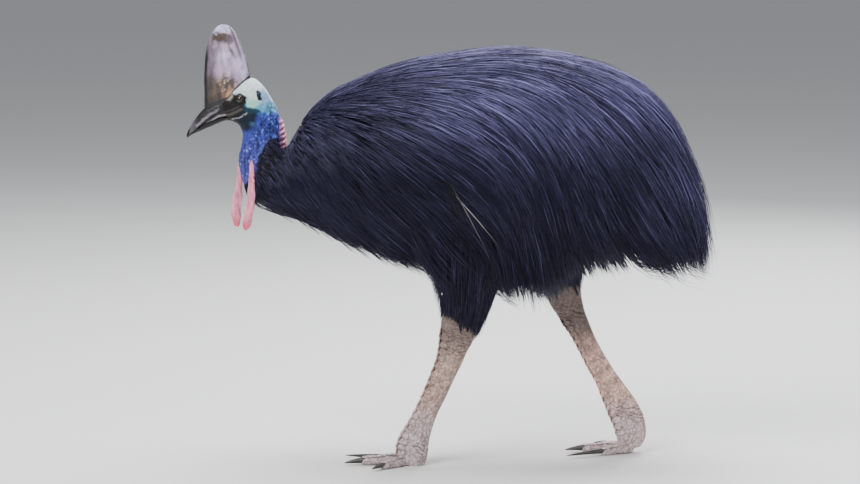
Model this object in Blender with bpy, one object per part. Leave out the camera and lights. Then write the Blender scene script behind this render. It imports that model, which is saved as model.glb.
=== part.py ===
"""A life-size southern cassowary in a walking stance, as a still museum model.

The bird faces -X with its left side towards -Y, and stands on the floor at z = 0. One row of
sections runs from the tip of the bill over the head, neck and back to the rump, and thin cuts
across it part the bill, head, neck, collar, torso and rump. The coat is tapered locks that grow
out of the torso, rump, collar and thighs and lie over one another like shingles. All sizes are
in metres, and the sections are in millimetres.
"""

import math
import random
from dataclasses import dataclass

import bmesh
import bpy
import numpy as np
from mathutils import Vector
from mathutils.bvhtree import BVHTree

# Driving sizes of the whole bird
GAP = 0.0003
MM = 0.001
SHORTEST_EDGE = 0.000002
FLOOR = 0.0
ACROSS = Vector((0.0, 1.0, 0.0))

# Sections of head and body, front to back, in millimetres: the point on the top line (x, z), the
# point on the under line (x, z), and half the width
BILL_SECTIONS = [
    ((-616, 768), (-615, 763), 2.0),
    ((-613, 778), (-611, 765), 5.0),
    ((-605, 793), (-599, 772), 8.5),
    ((-592, 812), (-580, 780), 12.0),
    ((-576, 830), (-559, 789), 15.5),
    ((-556, 844), (-535, 799), 19.0),
]
HEAD_SECTIONS = [
    ((-535, 858), (-516, 804), 21.5),
    ((-519, 871), (-502, 800), 28.0),
    ((-498, 887), (-491, 793), 34.0),
    ((-476, 901), (-485, 783), 37.5),
    ((-455, 901), (-481, 773), 39.0),
    ((-434, 882), (-480, 761), 38.0),
    ((-418, 857), (-480, 749), 36.0),
    ((-405, 832), (-481, 736), 34.5),
]
NECK_SECTIONS = [
    ((-395, 804), (-484, 721), 34.0),
    ((-389, 773), (-485, 697), 36.0),
    ((-385, 747), (-481, 657), 41.0),
]
COLLAR_SECTIONS = [
    ((-379, 739), (-465, 616), 51.0),
    ((-369, 754), (-429, 595), 62.0),
    ((-351, 788), (-389, 582), 76.0),
    ((-330, 820), (-342, 570), 91.0),
    ((-298, 851), (-293, 552), 108.0),
]
BODY_SECTIONS = [
    ((-253, 880), (-241, 538), 130.0),
    ((-116, 934), (-110, 500), 170.0),
    ((72, 962), (78, 482), 200.0),
    ((200, 962), (203, 478), 205.0),
    ((320, 937), (312, 486), 196.0),
    ((418, 898), (402, 500), 170.0),
    ((486, 835), (466, 526), 132.0),
    ((531, 757), (516, 563), 86.0),
    ((553, 693), (543, 618), 40.0),
    ((560, 670), (556, 645), 15.0),
]
TUBE_SECTIONS = BILL_SECTIONS + HEAD_SECTIONS + NECK_SECTIONS + COLLAR_SECTIONS + BODY_SECTIONS
TUBE_SIDES = 24
TUBE_ROUNDNESS = 2.25

# Stretches of the tube: first and last section, and the number of steps between
STRETCHES = {
    "bill": (0, 6, 8),
    "head": (6, 13, 12),
    "neck": (13, 16, 6),
    "collar": (16, 21, 7),
    "torso": (21, 25, 10),
    "rump": (25, 31, 12),
}

# Mouth line from behind its corner to past the tip of the bill, as x and z
MOUTH_LINE = [(-476, 819), (-505, 813), (-535, 811), (-571, 797), (-605, 774), (-625, 757)]
MOUTH_CORNER = 3
MOUTH_GROOVE = 0.0011
MOUTH_DEPTH = 0.0035

# Nostrils and the long grooves above them: middle (x, z), half length, half height, depth, slope
NOSTRIL = ((-587, 786), 4.6, 1.5, 2.2, 40.0)
NASAL_GROOVE = ((-566, 812), 19.0, 1.9, 1.6, 40.0)

# Ear openings: middle (x, z), half width, half height, depth, and the rim round them
EAR_PLACE = (-448, 861)
EAR_HALF = (2.6, 6.5, 6.5)
EAR_LEAN = 8.0
EAR_RIM_RADIUS = 0.0048
EAR_RIM_STRETCH = 1.75
EAR_RIM_THICKNESS = 0.0013

# Casque: front point (x, z), rear point (x, z) and half the thickness of each level
CASQUE_LEVELS = [
    ((-572, 815), (-458, 886), 21.0),
    ((-577, 840), (-467, 905), 22.0),
    ((-579, 872), (-470, 920), 20.0),
    ((-578, 912), (-477, 940), 17.0),
    ((-577, 948), (-486, 967), 14.0),
    ((-571, 981), (-496, 993), 11.5),
    ((-561, 1008), (-505, 1012), 9.0),
    ((-548, 1024), (-515, 1025), 6.0),
    ((-536, 1031), (-526, 1031), 3.0),
]
CASQUE_SIDES = 14
CASQUE_FRONT_FULLNESS = 0.80
CASQUE_REAR_FULLNESS = 1.15

# Eyes: a ball sunk in each side of the head, with a lid ring round its opening
EYE_PLACE = (-488.5, 27.5, 855.5)
EYE_RADIUS = 0.0112
LID_OUT = 0.0075
LID_RING_RADIUS = 0.0088
LID_RING_STRETCH = 0.85
LID_THICKNESS = 0.0024

# Nape: a strip of red folds from the back of the head down to the collar
NAPE_FOLDS = 7
NAPE_START = 13.45
NAPE_END = 15.45
NAPE_FOLD_HALF = (7.5, 13.0, 7.0)
NAPE_FOLD_SWAY = 2.5
NAPE_FOLD_SINK = 3.0

# Wattles: two flat folds that hang from the throat; (x, y, z), half width and half thickness
WATTLE_LEFT_PATH = [
    ((-462, -24, 734), 3.0, 3.0),
    ((-463, -30, 715), 3.5, 3.2),
    ((-464, -35, 690), 5.0, 3.6),
    ((-465, -38, 655), 7.5, 4.0),
    ((-467, -40, 620), 9.0, 4.2),
    ((-471, -40, 592), 10.0, 4.6),
    ((-475, -39, 568), 9.0, 5.0),
    ((-477, -38, 553), 5.0, 3.4),
]
WATTLE_RIGHT_PATH = [
    ((-478, 16, 738), 3.0, 3.0),
    ((-487, 21, 718), 4.0, 3.2),
    ((-493, 24, 695), 5.0, 3.6),
    ((-494, 26, 661), 6.5, 4.0),
    ((-498, 27, 625), 10.0, 4.2),
    ((-502, 27, 592), 11.0, 4.6),
    ((-502, 26, 566), 10.0, 5.0),
    ((-500, 25, 550), 5.0, 3.4),
]
WATTLE_SIDES = 10
WATTLE_STEPS = 14
WATTLE_BULBS = 3.5
WATTLE_BULB_SWELL = 0.16

# Legs: front point (x, z), rear point (x, z), half the width, and y of the middle of the section
THIGH_LEFT_SECTIONS = [
    ((-81, 640), (138, 640), 74.0, -98),
    ((-67, 548), (133, 540), 74.0, -98),
    ((-46, 484), (121, 469), 64.0, -96),
    ((-25, 422), (98, 401), 48.0, -92),
    ((-16, 379), (82, 355), 37.0, -87),
    ((-20, 344), (72, 318), 30.0, -84),
]
SHANK_LEFT_SECTIONS = [
    ((-20, 344), (72, 318), 30.0, -84),
    ((-24, 320), (61, 294), 28.0, -82),
    ((-26, 284), (45, 268), 25.0, -80),
    ((-31, 251), (29, 241), 21.5, -78),
    ((-46, 211), (11, 204), 19.5, -77),
    ((-62, 171), (-8, 162), 18.5, -76),
    ((-81, 130), (-26, 126), 19.0, -75),
    ((-100, 95), (-39, 90), 21.0, -74),
    ((-117, 66), (-47, 59), 25.0, -73),
    ((-125, 38), (-51, 28), 28.0, -73),
    ((-118, 10), (-56, 6), 25.0, -73),
    ((-108, -6), (-66, -8), 20.0, -73),
]
THIGH_RIGHT_SECTIONS = [
    ((48, 630), (274, 655), 74.0, 98),
    ((107, 511), (295, 565), 72.0, 97),
    ((166, 452), (307, 506), 60.0, 95),
    ((204, 409), (309, 454), 45.0, 91),
    ((229, 373), (309, 414), 35.0, 87),
    ((248, 343), (314, 380), 29.0, 85),
]
SHANK_RIGHT_SECTIONS = [
    ((248, 343), (314, 380), 29.0, 85),
    ((267, 316), (321, 347), 26.0, 83),
    ((286, 290), (333, 314), 23.5, 81),
    ((307, 252), (349, 276), 21.0, 79),
    ((328, 210), (372, 234), 19.5, 78),
    ((349, 172), (396, 196), 19.0, 77),
    ((366, 129), (422, 160), 20.5, 76),
    ((380, 94), (449, 122), 23.5, 75),
    ((394, 62), (466, 84), 26.0, 75),
    ((402, 30), (470, 44), 26.0, 75),
    ((412, 12), (458, 16), 20.0, 75),
]
LEG_SIDES = 12
LEG_ROUNDNESS = 2.2
THIGH_STEPS = 8
SHANK_STEPS_ABOVE = 3
SHANK_STEPS_BELOW = 4

# Scutes: overlapping plates down the front of each shank and along the top of each toe
SHANK_SCUTES = 9
SHANK_SCUTE_START = 0.16
SHANK_SCUTE_END = 0.80
TOE_SCUTES = {"inner": 3, "middle": 5, "outer": 4}
TOE_SCUTE_START = 0.20
TOE_SCUTE_END = 0.88
SCUTE_REACH = 65.0
SCUTE_LIP = 0.0018
SCUTE_EDGE = 0.05

# Feet: place of the knuckle, and for each toe its turn from straight ahead, how far in front of
# the knuckle it starts, its length and its widths
KNUCKLE_LEFT = (-0.088, -0.073)
KNUCKLE_RIGHT = (0.436, 0.075)
TOE_TURN = {"inner": -30.0, "middle": 0.0, "outer": 40.0}
TOE_ROOT = {"inner": 0.006, "middle": 0.0, "outer": 0.008}
TOE_LENGTH = {"inner": 0.086, "middle": 0.124, "outer": 0.102}
TOE_HALF_WIDTH = {"inner": 0.0135, "middle": 0.0165, "outer": 0.0140}
TOE_HEIGHT = {"inner": 0.027, "middle": 0.031, "outer": 0.028}
TOE_PADS = {"inner": 2, "middle": 3, "outer": 3}
TOE_SIDES = 10
TOE_NARROWS = 0.30
TOE_LOWERS = 0.36
PAD_SWELL = 0.12
PAD_SINK = 0.0016
CLAW_LENGTH = {"inner": 0.100, "middle": 0.044, "outer": 0.036}
CLAW_DROP = {"inner": 0.004, "middle": 0.006, "outer": 0.006}
CLAW_HEIGHT = 0.0115
CLAW_SIDES = 8
CLAW_STEPS = 6
FOOT_TURN_LEFT = 4.0
FOOT_TURN_RIGHT = -4.0

# Wings: the small arm on the flank and its bare quills, as x and z for either side
WING_ARM = (-0.016, 0.180, 0.690)
WING_ARM_HALF = (0.040, 0.034, 0.016)
WING_ARM_LEAN = 40.0
QUILL_ROOTS = [(0.004, 0.674), (0.000, 0.677), (-0.004, 0.680), (-0.008, 0.684), (-0.012, 0.687)]
QUILL_TIPS = [(0.138, 0.498), (0.118, 0.485), (0.094, 0.472), (0.066, 0.470), (0.036, 0.476)]
QUILL_ROOT_Y = 0.204
QUILL_TIP_Y = 0.238
QUILL_BOW = 0.012
QUILL_RADIUS = 0.0021
QUILL_SIDES = 4
QUILL_STEPS = 5

# Coat: the slope at which a lock leaves the body, its sink at the root, how far the body turns
# under before a lock hangs free of it, and the shape of a lock along its length
LOCK_SLOPE = 0.115
LOCK_SINK = 0.008
LOCK_CLEAR = 0.004
LOCK_THICKNESS = 0.0052
FLANK_LEAVE = -0.25
REAR_LEAVE = 0.12
REAR_SPREAD = 1.1
REAR_END = 0.620
REAR_EASE = 0.060
LOCK_PATH_STEPS = 14
LOCK_ROOT_SHARE = 0.12
LOCK_SHARES = [0.0, 0.26, 0.54, 0.80, 1.0]
LOCK_WIDTHS = [0.60, 1.0, 0.98, 0.62, 0.0]
LOCK_THICKNESSES = [0.9, 1.0, 0.9, 0.6, 0.0]
LOCK_TEST_MARGIN = 0.0006
COAT_SEED = 14

# Lowest reach of the coat along the bird, as x and z
COAT_LINE = [(-400, 590), (-270, 532), (-200, 494), (-142, 462), (-70, 446), (0, 420), (90, 392),
             (182, 372), (235, 376), (310, 436), (400, 455), (450, 462), (535, 440), (620, 430)]


@dataclass
class LockRow:
    """One row of locks: place, spacing, length, width, and its two ends in degrees from the top."""
    at: float
    spacing: float
    length: float
    width: float
    end: float = 180.0
    start: float = 0.0


COLLAR_ROWS = [
    LockRow(17.4, 0.060, 0.075, 0.044),
    LockRow(18.7, 0.066, 0.095, 0.050),
    LockRow(20.0, 0.074, 0.115, 0.054),
]
TORSO_ROWS = [
    LockRow(21.30, 0.094, 0.180, 0.074),
    LockRow(22.06, 0.094, 0.188, 0.074),
    LockRow(22.82, 0.094, 0.196, 0.074),
    LockRow(23.58, 0.094, 0.204, 0.074),
    LockRow(24.34, 0.094, 0.212, 0.074),
]
RUMP_ROWS = [
    LockRow(25.5, 0.096, 0.215, 0.078),
    LockRow(26.3, 0.110, 0.110, 0.076, 180.0, 122.0),
    LockRow(26.5, 0.098, 0.220, 0.078, 120.0),
    LockRow(27.3, 0.110, 0.110, 0.076, 180.0, 114.0),
    LockRow(27.5, 0.100, 0.235, 0.080, 110.0),
    LockRow(28.5, 0.102, 0.275, 0.080, 100.0),
    LockRow(29.4, 0.110, 0.150, 0.074),
]
THIGH_ROWS = [LockRow(2.0, 0.070, 0.100, 0.052), LockRow(3.0, 0.062, 0.090, 0.046)]

FINISHES = {
    "casque": ("casque_horn", (0.150, 0.115, 0.110), 0.35),
    "bill": ("bill_horn", (0.045, 0.042, 0.045), 0.35),
    "head": ("head_skin", (0.180, 0.420, 0.420), 0.55),
    "neck": ("neck_skin", (0.020, 0.050, 0.300), 0.55),
    "wattle": ("wattle_skin", (0.520, 0.110, 0.110), 0.50),
    "eye": ("eye_gloss", (0.030, 0.018, 0.010), 0.08),
    "plumage": ("plumage", (0.010, 0.011, 0.016), 0.62),
    "leg": ("leg_scales", (0.250, 0.205, 0.185), 0.60),
    "claw": ("claw_horn", (0.060, 0.055, 0.055), 0.40),
    "quill": ("quill_horn", (0.110, 0.095, 0.085), 0.40),
}


@dataclass
class Bench:
    """What every piece is built with: collections, materials and the empty that carries them."""
    pieces: bpy.types.Collection
    cutters: bpy.types.Collection
    materials: dict
    frame: bpy.types.Object


@dataclass
class Coat:
    """A piece, its surface before any cut, and the locks laid on it but not yet joined."""
    piece: bpy.types.Object
    bare: tuple
    locks: list


def clear_scene():
    """Remove whatever objects the file holds."""
    for thing in list(bpy.data.objects):
        bpy.data.objects.remove(thing, do_unlink=True)


def make_material(name, colour, roughness):
    """Make one Principled material."""
    material = bpy.data.materials.new(name)
    material.use_nodes = True
    shader = material.node_tree.nodes["Principled BSDF"]
    shader.inputs["Base Color"].default_value = (*colour, 1.0)
    shader.inputs["Roughness"].default_value = roughness
    shader.inputs["Metallic"].default_value = 0.0
    return material


def make_bench():
    """Make the collections, the materials and the bird's empty."""
    pieces = bpy.data.collections.new("cassowary")
    cutters = bpy.data.collections.new("cutters")
    for group in (pieces, cutters):
        bpy.context.scene.collection.children.link(group)
    frame = bpy.data.objects.new("cassowary_frame", None)
    pieces.objects.link(frame)
    materials = {key: make_material(*finish) for key, finish in FINISHES.items()}
    return Bench(pieces, cutters, materials, frame)


def blend_rows(rows, at):
    """Value of a smooth curve through the rows at a fractional row number."""
    count = len(rows)
    at = min(max(at, 0.0), count - 1.0)
    low = min(int(at), count - 2)
    t = at - low
    before = rows[max(low - 1, 0)]
    start = rows[low]
    end = rows[low + 1]
    after = rows[min(low + 2, count - 1)]
    pull_start = (end - before) * 0.5
    pull_end = (after - start) * 0.5
    return (start * (2 * t**3 - 3 * t**2 + 1) + pull_start * (t**3 - 2 * t**2 + t)
            + end * (3 * t**2 - 2 * t**3) + pull_end * (t**3 - t**2))


def flat_rows(sections):
    """Sections as an array of rows in metres: first x, z, second x, z, half width and middle y."""
    rows = []
    for section in sections:
        (first_x, first_z), (second_x, second_z), half_width = section[:3]
        middle_y = section[3] if len(section) > 3 else 0.0
        rows.append([first_x, first_z, second_x, second_z, half_width, middle_y])
    return np.array(rows, dtype=float) * MM


TUBE_ROWS = flat_rows(TUBE_SECTIONS)


def section_frame(row):
    """Middle of a section, its half rise to the first point, and the way out of its plane."""
    first = Vector((row[0], row[5], row[1]))
    second = Vector((row[2], row[5], row[3]))
    rise = (first - second) / 2
    return (first + second) / 2, rise, ACROSS.cross(rise.normalized())


def section_point(row, angle, roundness, grow=0.0):
    """Point on a section's oval, at an angle from its first point."""
    middle, rise, _ = section_frame(row)
    up = math.copysign(abs(math.cos(angle)) ** (2 / roundness), math.cos(angle))
    out = math.copysign(abs(math.sin(angle)) ** (2 / roundness), math.sin(angle))
    return middle + rise.normalized() * (up * (rise.length + grow)) + ACROSS * (out * (row[4] + grow))


def section_ring(row, sides, roundness, grow=0.0, shift=0.0):
    """Points of one closed section, in its own plane or moved out of it."""
    _, _, onward = section_frame(row)
    return [section_point(row, math.tau * step / sides, roundness, grow) + onward * shift
            for step in range(sides)]


def mesh_object(name, points, faces, group, material=None):
    """Make an object of a closed mesh, with its faces turned outwards."""
    mesh = bpy.data.meshes.new(name)
    shape = bmesh.new()
    corners = [shape.verts.new(point) for point in points]
    for face in faces:
        shape.faces.new([corners[index] for index in face])
    bmesh.ops.recalc_face_normals(shape, faces=shape.faces)
    if shape.calc_volume(signed=True) < 0:
        bmesh.ops.reverse_faces(shape, faces=shape.faces)
    shape.to_mesh(mesh)
    shape.free()
    made = bpy.data.objects.new(name, mesh)
    if material:
        mesh.materials.append(material)
    group.objects.link(made)
    return made


def band_faces(rings, sides, closed=True):
    """Triangles between successive rings of equal count."""
    faces = []
    for level in range(rings - 1):
        low = level * sides
        high = low + sides
        for side in range(sides if closed else sides - 1):
            beside = (side + 1) % sides
            faces.append((low + side, low + beside, high + beside))
            faces.append((low + side, high + beside, high + side))
    return faces


def loft(name, rings, group, material=None):
    """Join rings of equal count into one closed solid with flat ends."""
    sides = len(rings[0])
    points = [point for ring in rings for point in ring]
    faces = band_faces(len(rings), sides)
    faces.append(tuple(range(sides)))
    faces.append(tuple(reversed(range(len(points) - sides, len(points)))))
    return mesh_object(name, points, faces, group, material)


def even_steps(start, end, steps):
    """Places along a row of sections, evenly from the start to the end."""
    return [start + (end - start) * step / steps for step in range(steps + 1)]


def section_loft(name, rows, places, sides, roundness, group, material=None, grow=0.0,
                 trim=(0.0, 0.0)):
    """Loft the sections at some places of a row, with the end rings moved inwards by the trim."""
    first, _, onward = section_frame(blend_rows(rows, places[0]))
    last, _, _ = section_frame(blend_rows(rows, places[-1]))
    ahead = math.copysign(1.0, (last - first).dot(onward))
    shifts = [0.0] * len(places)
    shifts[0] = trim[0] * ahead
    shifts[-1] = -trim[1] * ahead
    rings = [section_ring(blend_rows(rows, at), sides, roundness, grow, shift)
             for at, shift in zip(places, shifts)]
    return loft(name, rings, group, material)


def prism(name, outline, low_y, high_y, group):
    """A flat outline in x and z, drawn out from one y to another."""
    count = len(outline)
    points = [(x, low_y, z) for x, z in outline] + [(x, high_y, z) for x, z in outline]
    faces = [tuple(range(count)), tuple(reversed(range(count, 2 * count)))]
    for corner in range(count):
        beside = (corner + 1) % count
        faces.append((corner, beside, count + beside, count + corner))
    return mesh_object(name, points, faces, group)


def ball(name, place, sizes, group, material=None, segments=12, rings=7, lean=0.0):
    """A ball stretched to three half sizes, leaned about Y, at a place."""
    mesh = bpy.data.meshes.new(name)
    shape = bmesh.new()
    bmesh.ops.create_uvsphere(shape, u_segments=segments, v_segments=rings, radius=1.0)
    bmesh.ops.scale(shape, vec=sizes, verts=shape.verts)
    shape.to_mesh(mesh)
    shape.free()
    made = bpy.data.objects.new(name, mesh)
    made.location = place
    made.rotation_euler = (0.0, math.radians(lean), 0.0)
    if material:
        mesh.materials.append(material)
    group.objects.link(made)
    return made


def ring_object(name, place, radius, stretch, thickness, group, material=None, major=12, minor=4):
    """A ring of round section, lying in the plane of x and z and stretched along z."""
    points = []
    for step in range(major):
        angle = math.tau * step / major
        middle = Vector((math.cos(angle) * radius, 0.0, math.sin(angle) * radius * stretch))
        outwards = Vector((math.cos(angle), 0.0, math.sin(angle)))
        for turn in range(minor):
            bend = math.tau * turn / minor
            points.append(place + middle + outwards * (math.cos(bend) * thickness)
                          + ACROSS * (math.sin(bend) * thickness))
    faces = []
    for step in range(major):
        ahead = (step + 1) % major
        for turn in range(minor):
            beside = (turn + 1) % minor
            faces.append((step * minor + turn, step * minor + beside, ahead * minor + beside,
                          ahead * minor + turn))
    return mesh_object(name, points, faces, group, material)


def keep_largest(mesh):
    """Drop all of a mesh but the closed surface with the most faces, and its shortest edges."""
    shape = bmesh.new()
    shape.from_mesh(mesh)
    bmesh.ops.dissolve_degenerate(shape, dist=SHORTEST_EDGE, edges=shape.edges)
    left = set(shape.faces)
    largest = set()
    while left:
        found = set()
        edge_of = [left.pop()]
        while edge_of:
            face = edge_of.pop()
            found.add(face)
            for edge in face.edges:
                for other in edge.link_faces:
                    if other in left:
                        left.remove(other)
                        edge_of.append(other)
        if len(found) > len(largest):
            largest = found
    loose = [face for face in shape.faces if face not in largest]
    bmesh.ops.delete(shape, geom=loose, context="FACES")
    shape.to_mesh(mesh)
    shape.free()


def settle(thing):
    """Turn an object's modifiers into its mesh, and keep only its largest closed surface."""
    bpy.context.view_layer.update()
    depsgraph = bpy.context.evaluated_depsgraph_get()
    result = bpy.data.meshes.new_from_object(thing.evaluated_get(depsgraph))
    thing.modifiers.clear()
    thing.data = result
    keep_largest(result)


def cut(thing, cutters):
    """Cut closed solids out of an object, then remove them."""
    for cutter in cutters:
        cutter.hide_render = True
        cutter.display_type = "WIRE"
        knife = thing.modifiers.new("Cut", "BOOLEAN")
        knife.operation = "DIFFERENCE"
        knife.object = cutter
        knife.solver = "EXACT"
    settle(thing)
    for cutter in cutters:
        bpy.data.objects.remove(cutter, do_unlink=True)


def fuse(thing, pieces, solver="EXACT"):
    """Join closed solids to an object with one Boolean union, then remove them."""
    group = bpy.data.collections.new("fused")
    for piece in pieces:
        group.objects.link(piece)
    joint = thing.modifiers.new("Fuse", "BOOLEAN")
    joint.operation = "UNION"
    joint.operand_type = "COLLECTION"
    joint.collection = group
    joint.solver = solver
    settle(thing)
    for piece in pieces:
        bpy.data.objects.remove(piece, do_unlink=True)
    bpy.data.collections.remove(group)


def finish_piece(thing, bench, sharp_angle=50.0):
    """Shade a piece smooth with sharp creases, and hang it on the bird's empty."""
    thing.data.shade_smooth()
    thing.data.set_sharp_from_angle(angle=math.radians(sharp_angle))
    thing.parent = bench.frame


def surface(things):
    """Corners and faces of several objects together, in world space."""
    points = []
    faces = []
    bpy.context.view_layer.update()
    for thing in things:
        first = len(points)
        place = thing.matrix_world
        points += [place @ corner.co for corner in thing.data.vertices]
        faces += [[first + index for index in face.vertices] for face in thing.data.polygons]
    return points, faces


def search_tree(*surfaces):
    """Search tree of one or more surfaces."""
    points = []
    faces = []
    for more_points, more_faces in surfaces:
        first = len(points)
        points += more_points
        faces += [[first + index for index in face] for face in more_faces]
    return BVHTree.FromPolygons(points, faces)


def tube(name, stretches, group, material=None, grow=0.0, trim=(0.0, 0.0)):
    """One or more stretches of the bird's main row of sections, as one solid."""
    places = []
    for stretch in stretches:
        places += even_steps(*STRETCHES[stretch])[bool(places):]
    return section_loft(name, TUBE_ROWS, places, TUBE_SIDES, TUBE_ROUNDNESS, group, material,
                        grow, trim)


def mouth_block(upper_side, bench):
    """Block above or below the mouth line, just past it by half the gap."""
    side = 1 if upper_side else -1
    line = [(x * MM, z * MM - side * GAP / 2) for x, z in MOUTH_LINE]
    line.insert(0, (line[0][0] + 0.08, line[0][1]))
    far_z = 1.2 if upper_side else 0.5
    outline = line + [(line[-1][0], far_z), (line[0][0], far_z)]
    return prism("mouth_block", outline, -0.06, 0.06, bench.cutters)


def side_ball(mark, side, tree, bench):
    """Long thin ball set in the surface at a mark, to cut a nostril or a groove."""
    (x, z), half_length, half_height, depth, slope = mark
    place = side_point(tree, x * MM, z * MM, side)
    return ball("slit", place, (half_length * MM, depth * MM, half_height * MM), bench.cutters,
                segments=8, rings=5, lean=-slope)


def side_point(tree, x, z, side):
    """Point of the outer surface seen from one side at a given x and z."""
    start = Vector((x, side * 0.3, z))
    place, _, _, _ = tree.ray_cast(start, Vector((0.0, -side, 0.0)))
    return place


def build_bill(bench):
    """Upper and lower bill, parted along the mouth line, with nostrils and nasal grooves."""
    for name, away in (("bill_upper", False), ("bill_lower", True)):
        bill = tube(name, ["bill"], bench.pieces, bench.materials["bill"], trim=(0, GAP / 2))
        knives = [mouth_block(away, bench)]
        if name == "bill_upper":
            tree = search_tree(surface([bill]))
            knives += [side_ball(mark, side, tree, bench) for mark in (NOSTRIL, NASAL_GROOVE)
                       for side in (-1, 1)]
        cut(bill, knives)
        finish_piece(bill, bench)


def mouth_groove(side, bench):
    """Thin plate along the corner of the mouth on one side, hollowed so it cuts only the skin."""
    line = [(x * MM, z * MM) for x, z in MOUTH_LINE[:MOUTH_CORNER]]
    line.append((line[-1][0] - 0.02, line[-1][1]))
    upper = [(x, z + MOUTH_GROOVE / 2) for x, z in line]
    lower = [(x, z - MOUTH_GROOVE / 2) for x, z in reversed(line)]
    near, far = sorted((side * 0.01, side * 0.06))
    plate = prism("mouth_groove", upper + lower, near, far, bench.cutters)
    cut(plate, [tube("mouth_core", ["bill", "head"], bench.cutters, grow=-MOUTH_DEPTH)])
    return plate


def build_head(bench):
    """Head with lids round the eyes in their sockets, ears and the corner of the mouth."""
    head = tube("head", ["head"], bench.pieces, bench.materials["head"], trim=(GAP / 2, GAP / 2))
    tree = search_tree(surface([head]))
    rims = []
    knives = []
    for side, name in ((-1, "left"), (1, "right")):
        knives.append(mouth_groove(side, bench))
        place = Vector((EYE_PLACE[0], side * EYE_PLACE[1], EYE_PLACE[2])) * MM
        rims.append(ring_object("lid", place + ACROSS * (side * LID_OUT), LID_RING_RADIUS,
                                LID_RING_STRETCH, LID_THICKNESS, bench.pieces))
        knives.append(ball("socket", place, (EYE_RADIUS + GAP,) * 3, bench.cutters))
        eye = ball("eye_" + name, place, (EYE_RADIUS,) * 3, bench.pieces, bench.materials["eye"])
        finish_piece(eye, bench)
        ear = side_point(tree, EAR_PLACE[0] * MM, EAR_PLACE[1] * MM, side)
        rims.append(ring_object("ear_rim", ear, EAR_RIM_RADIUS, EAR_RIM_STRETCH,
                                EAR_RIM_THICKNESS, bench.pieces))
        half = (EAR_HALF[0] * MM, EAR_HALF[1] * MM, EAR_HALF[2] * MM)
        knives.append(ball("ear_cup", ear, half, bench.cutters, segments=8, rings=6,
                           lean=-EAR_LEAN))
    fuse(head, rims)
    cut(head, knives)
    finish_piece(head, bench)


def casque_object(bench):
    """Helmet of horn: lens-shaped levels, sharp at the front keel and round at the rear."""
    levels = []
    for front, rear, half in CASQUE_LEVELS:
        front = Vector((front[0], 0.0, front[1])) * MM
        rear = Vector((rear[0], 0.0, rear[1])) * MM
        ring = []
        for step in range(CASQUE_SIDES):
            angle = math.tau * step / CASQUE_SIDES
            along = (1 - math.cos(angle)) / 2
            fullness = CASQUE_FRONT_FULLNESS * (1 - along) + CASQUE_REAR_FULLNESS * along
            point = front.lerp(rear, along)
            point.y = math.sin(angle) * fullness * half * MM
            ring.append(point)
        levels.append(ring)
    return loft("casque", levels, bench.pieces, bench.materials["casque"])


def build_casque(bench):
    """Casque, its foot cut to the crown and the root of the bill."""
    casque = casque_object(bench)
    cut(casque, [tube("skull", ["bill", "head"], bench.cutters, grow=GAP)])
    finish_piece(casque, bench, 40.0)


def build_neck(bench):
    """Bare neck with the strip of folds down the nape."""
    neck = tube("neck", ["neck"], bench.pieces, bench.materials["neck"], trim=(GAP / 2, GAP / 2))
    folds = []
    for number, at in enumerate(even_steps(NAPE_START, NAPE_END, NAPE_FOLDS - 1)):
        row = blend_rows(TUBE_ROWS, at)
        place = section_point(row, 0.0, TUBE_ROUNDNESS)
        place.x -= NAPE_FOLD_SINK * MM
        place.y = NAPE_FOLD_SWAY * MM * (-1) ** number
        half = [size * MM for size in NAPE_FOLD_HALF]
        folds.append(ball("fold", place, half, bench.pieces, None, 7, 4, 20.0))
    fuse(neck, folds)
    finish_piece(neck, bench)


def build_wattles(bench):
    """Two bare folds of skin that hang from the throat and swell in soft bulbs lower down."""
    for name, path in (("wattle_left", WATTLE_LEFT_PATH), ("wattle_right", WATTLE_RIGHT_PATH)):
        rows = np.array([[*place, wide, thick] for place, wide, thick in path]) * MM
        rings = []
        for at in even_steps(0, len(path) - 1, WATTLE_STEPS):
            row = blend_rows(rows, at)
            share = at / (len(path) - 1)
            swell = 1 + WATTLE_BULB_SWELL * share * math.sin(math.tau * WATTLE_BULBS * share)
            ring = []
            for step in range(WATTLE_SIDES):
                angle = math.tau * step / WATTLE_SIDES
                ring.append(Vector(row[:3]) + Vector((math.cos(angle) * row[3] * swell,
                                                      math.sin(angle) * row[4] * swell, 0)))
            rings.append(ring)
        wattle = loft(name, rings, bench.pieces, bench.materials["wattle"])
        cut(wattle, [tube("throat", ["head", "neck", "collar"], bench.cutters, grow=GAP)])
        finish_piece(wattle, bench)


def clamp_to_floor(thing):
    """Press the points below the floor flat on it."""
    for corner in thing.data.vertices:
        corner.co.z = max(corner.co.z, FLOOR - thing.location.z)


def scute_stations(start, end, count, above, below):
    """Shares along a limb with the rise of its plates there: low at each root, high at each lip."""
    step = (end - start) / count
    stations = [(share, 0.0) for share in even_steps(0.0, start, above)[:-1]]
    for number in range(count):
        root = start + step * number
        stations.append((root, 0.0))
        stations.append((root + step * (1 - SCUTE_EDGE), SCUTE_LIP))
    stations += [(share, 0.0) for share in even_steps(end, 1.0, below)]
    return stations


def scute_rise(rise, angle):
    """Rise of a plate at an angle from the middle of the plate."""
    angle = abs(math.remainder(angle, math.tau))
    return rise if angle < math.radians(SCUTE_REACH) else 0.0


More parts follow.
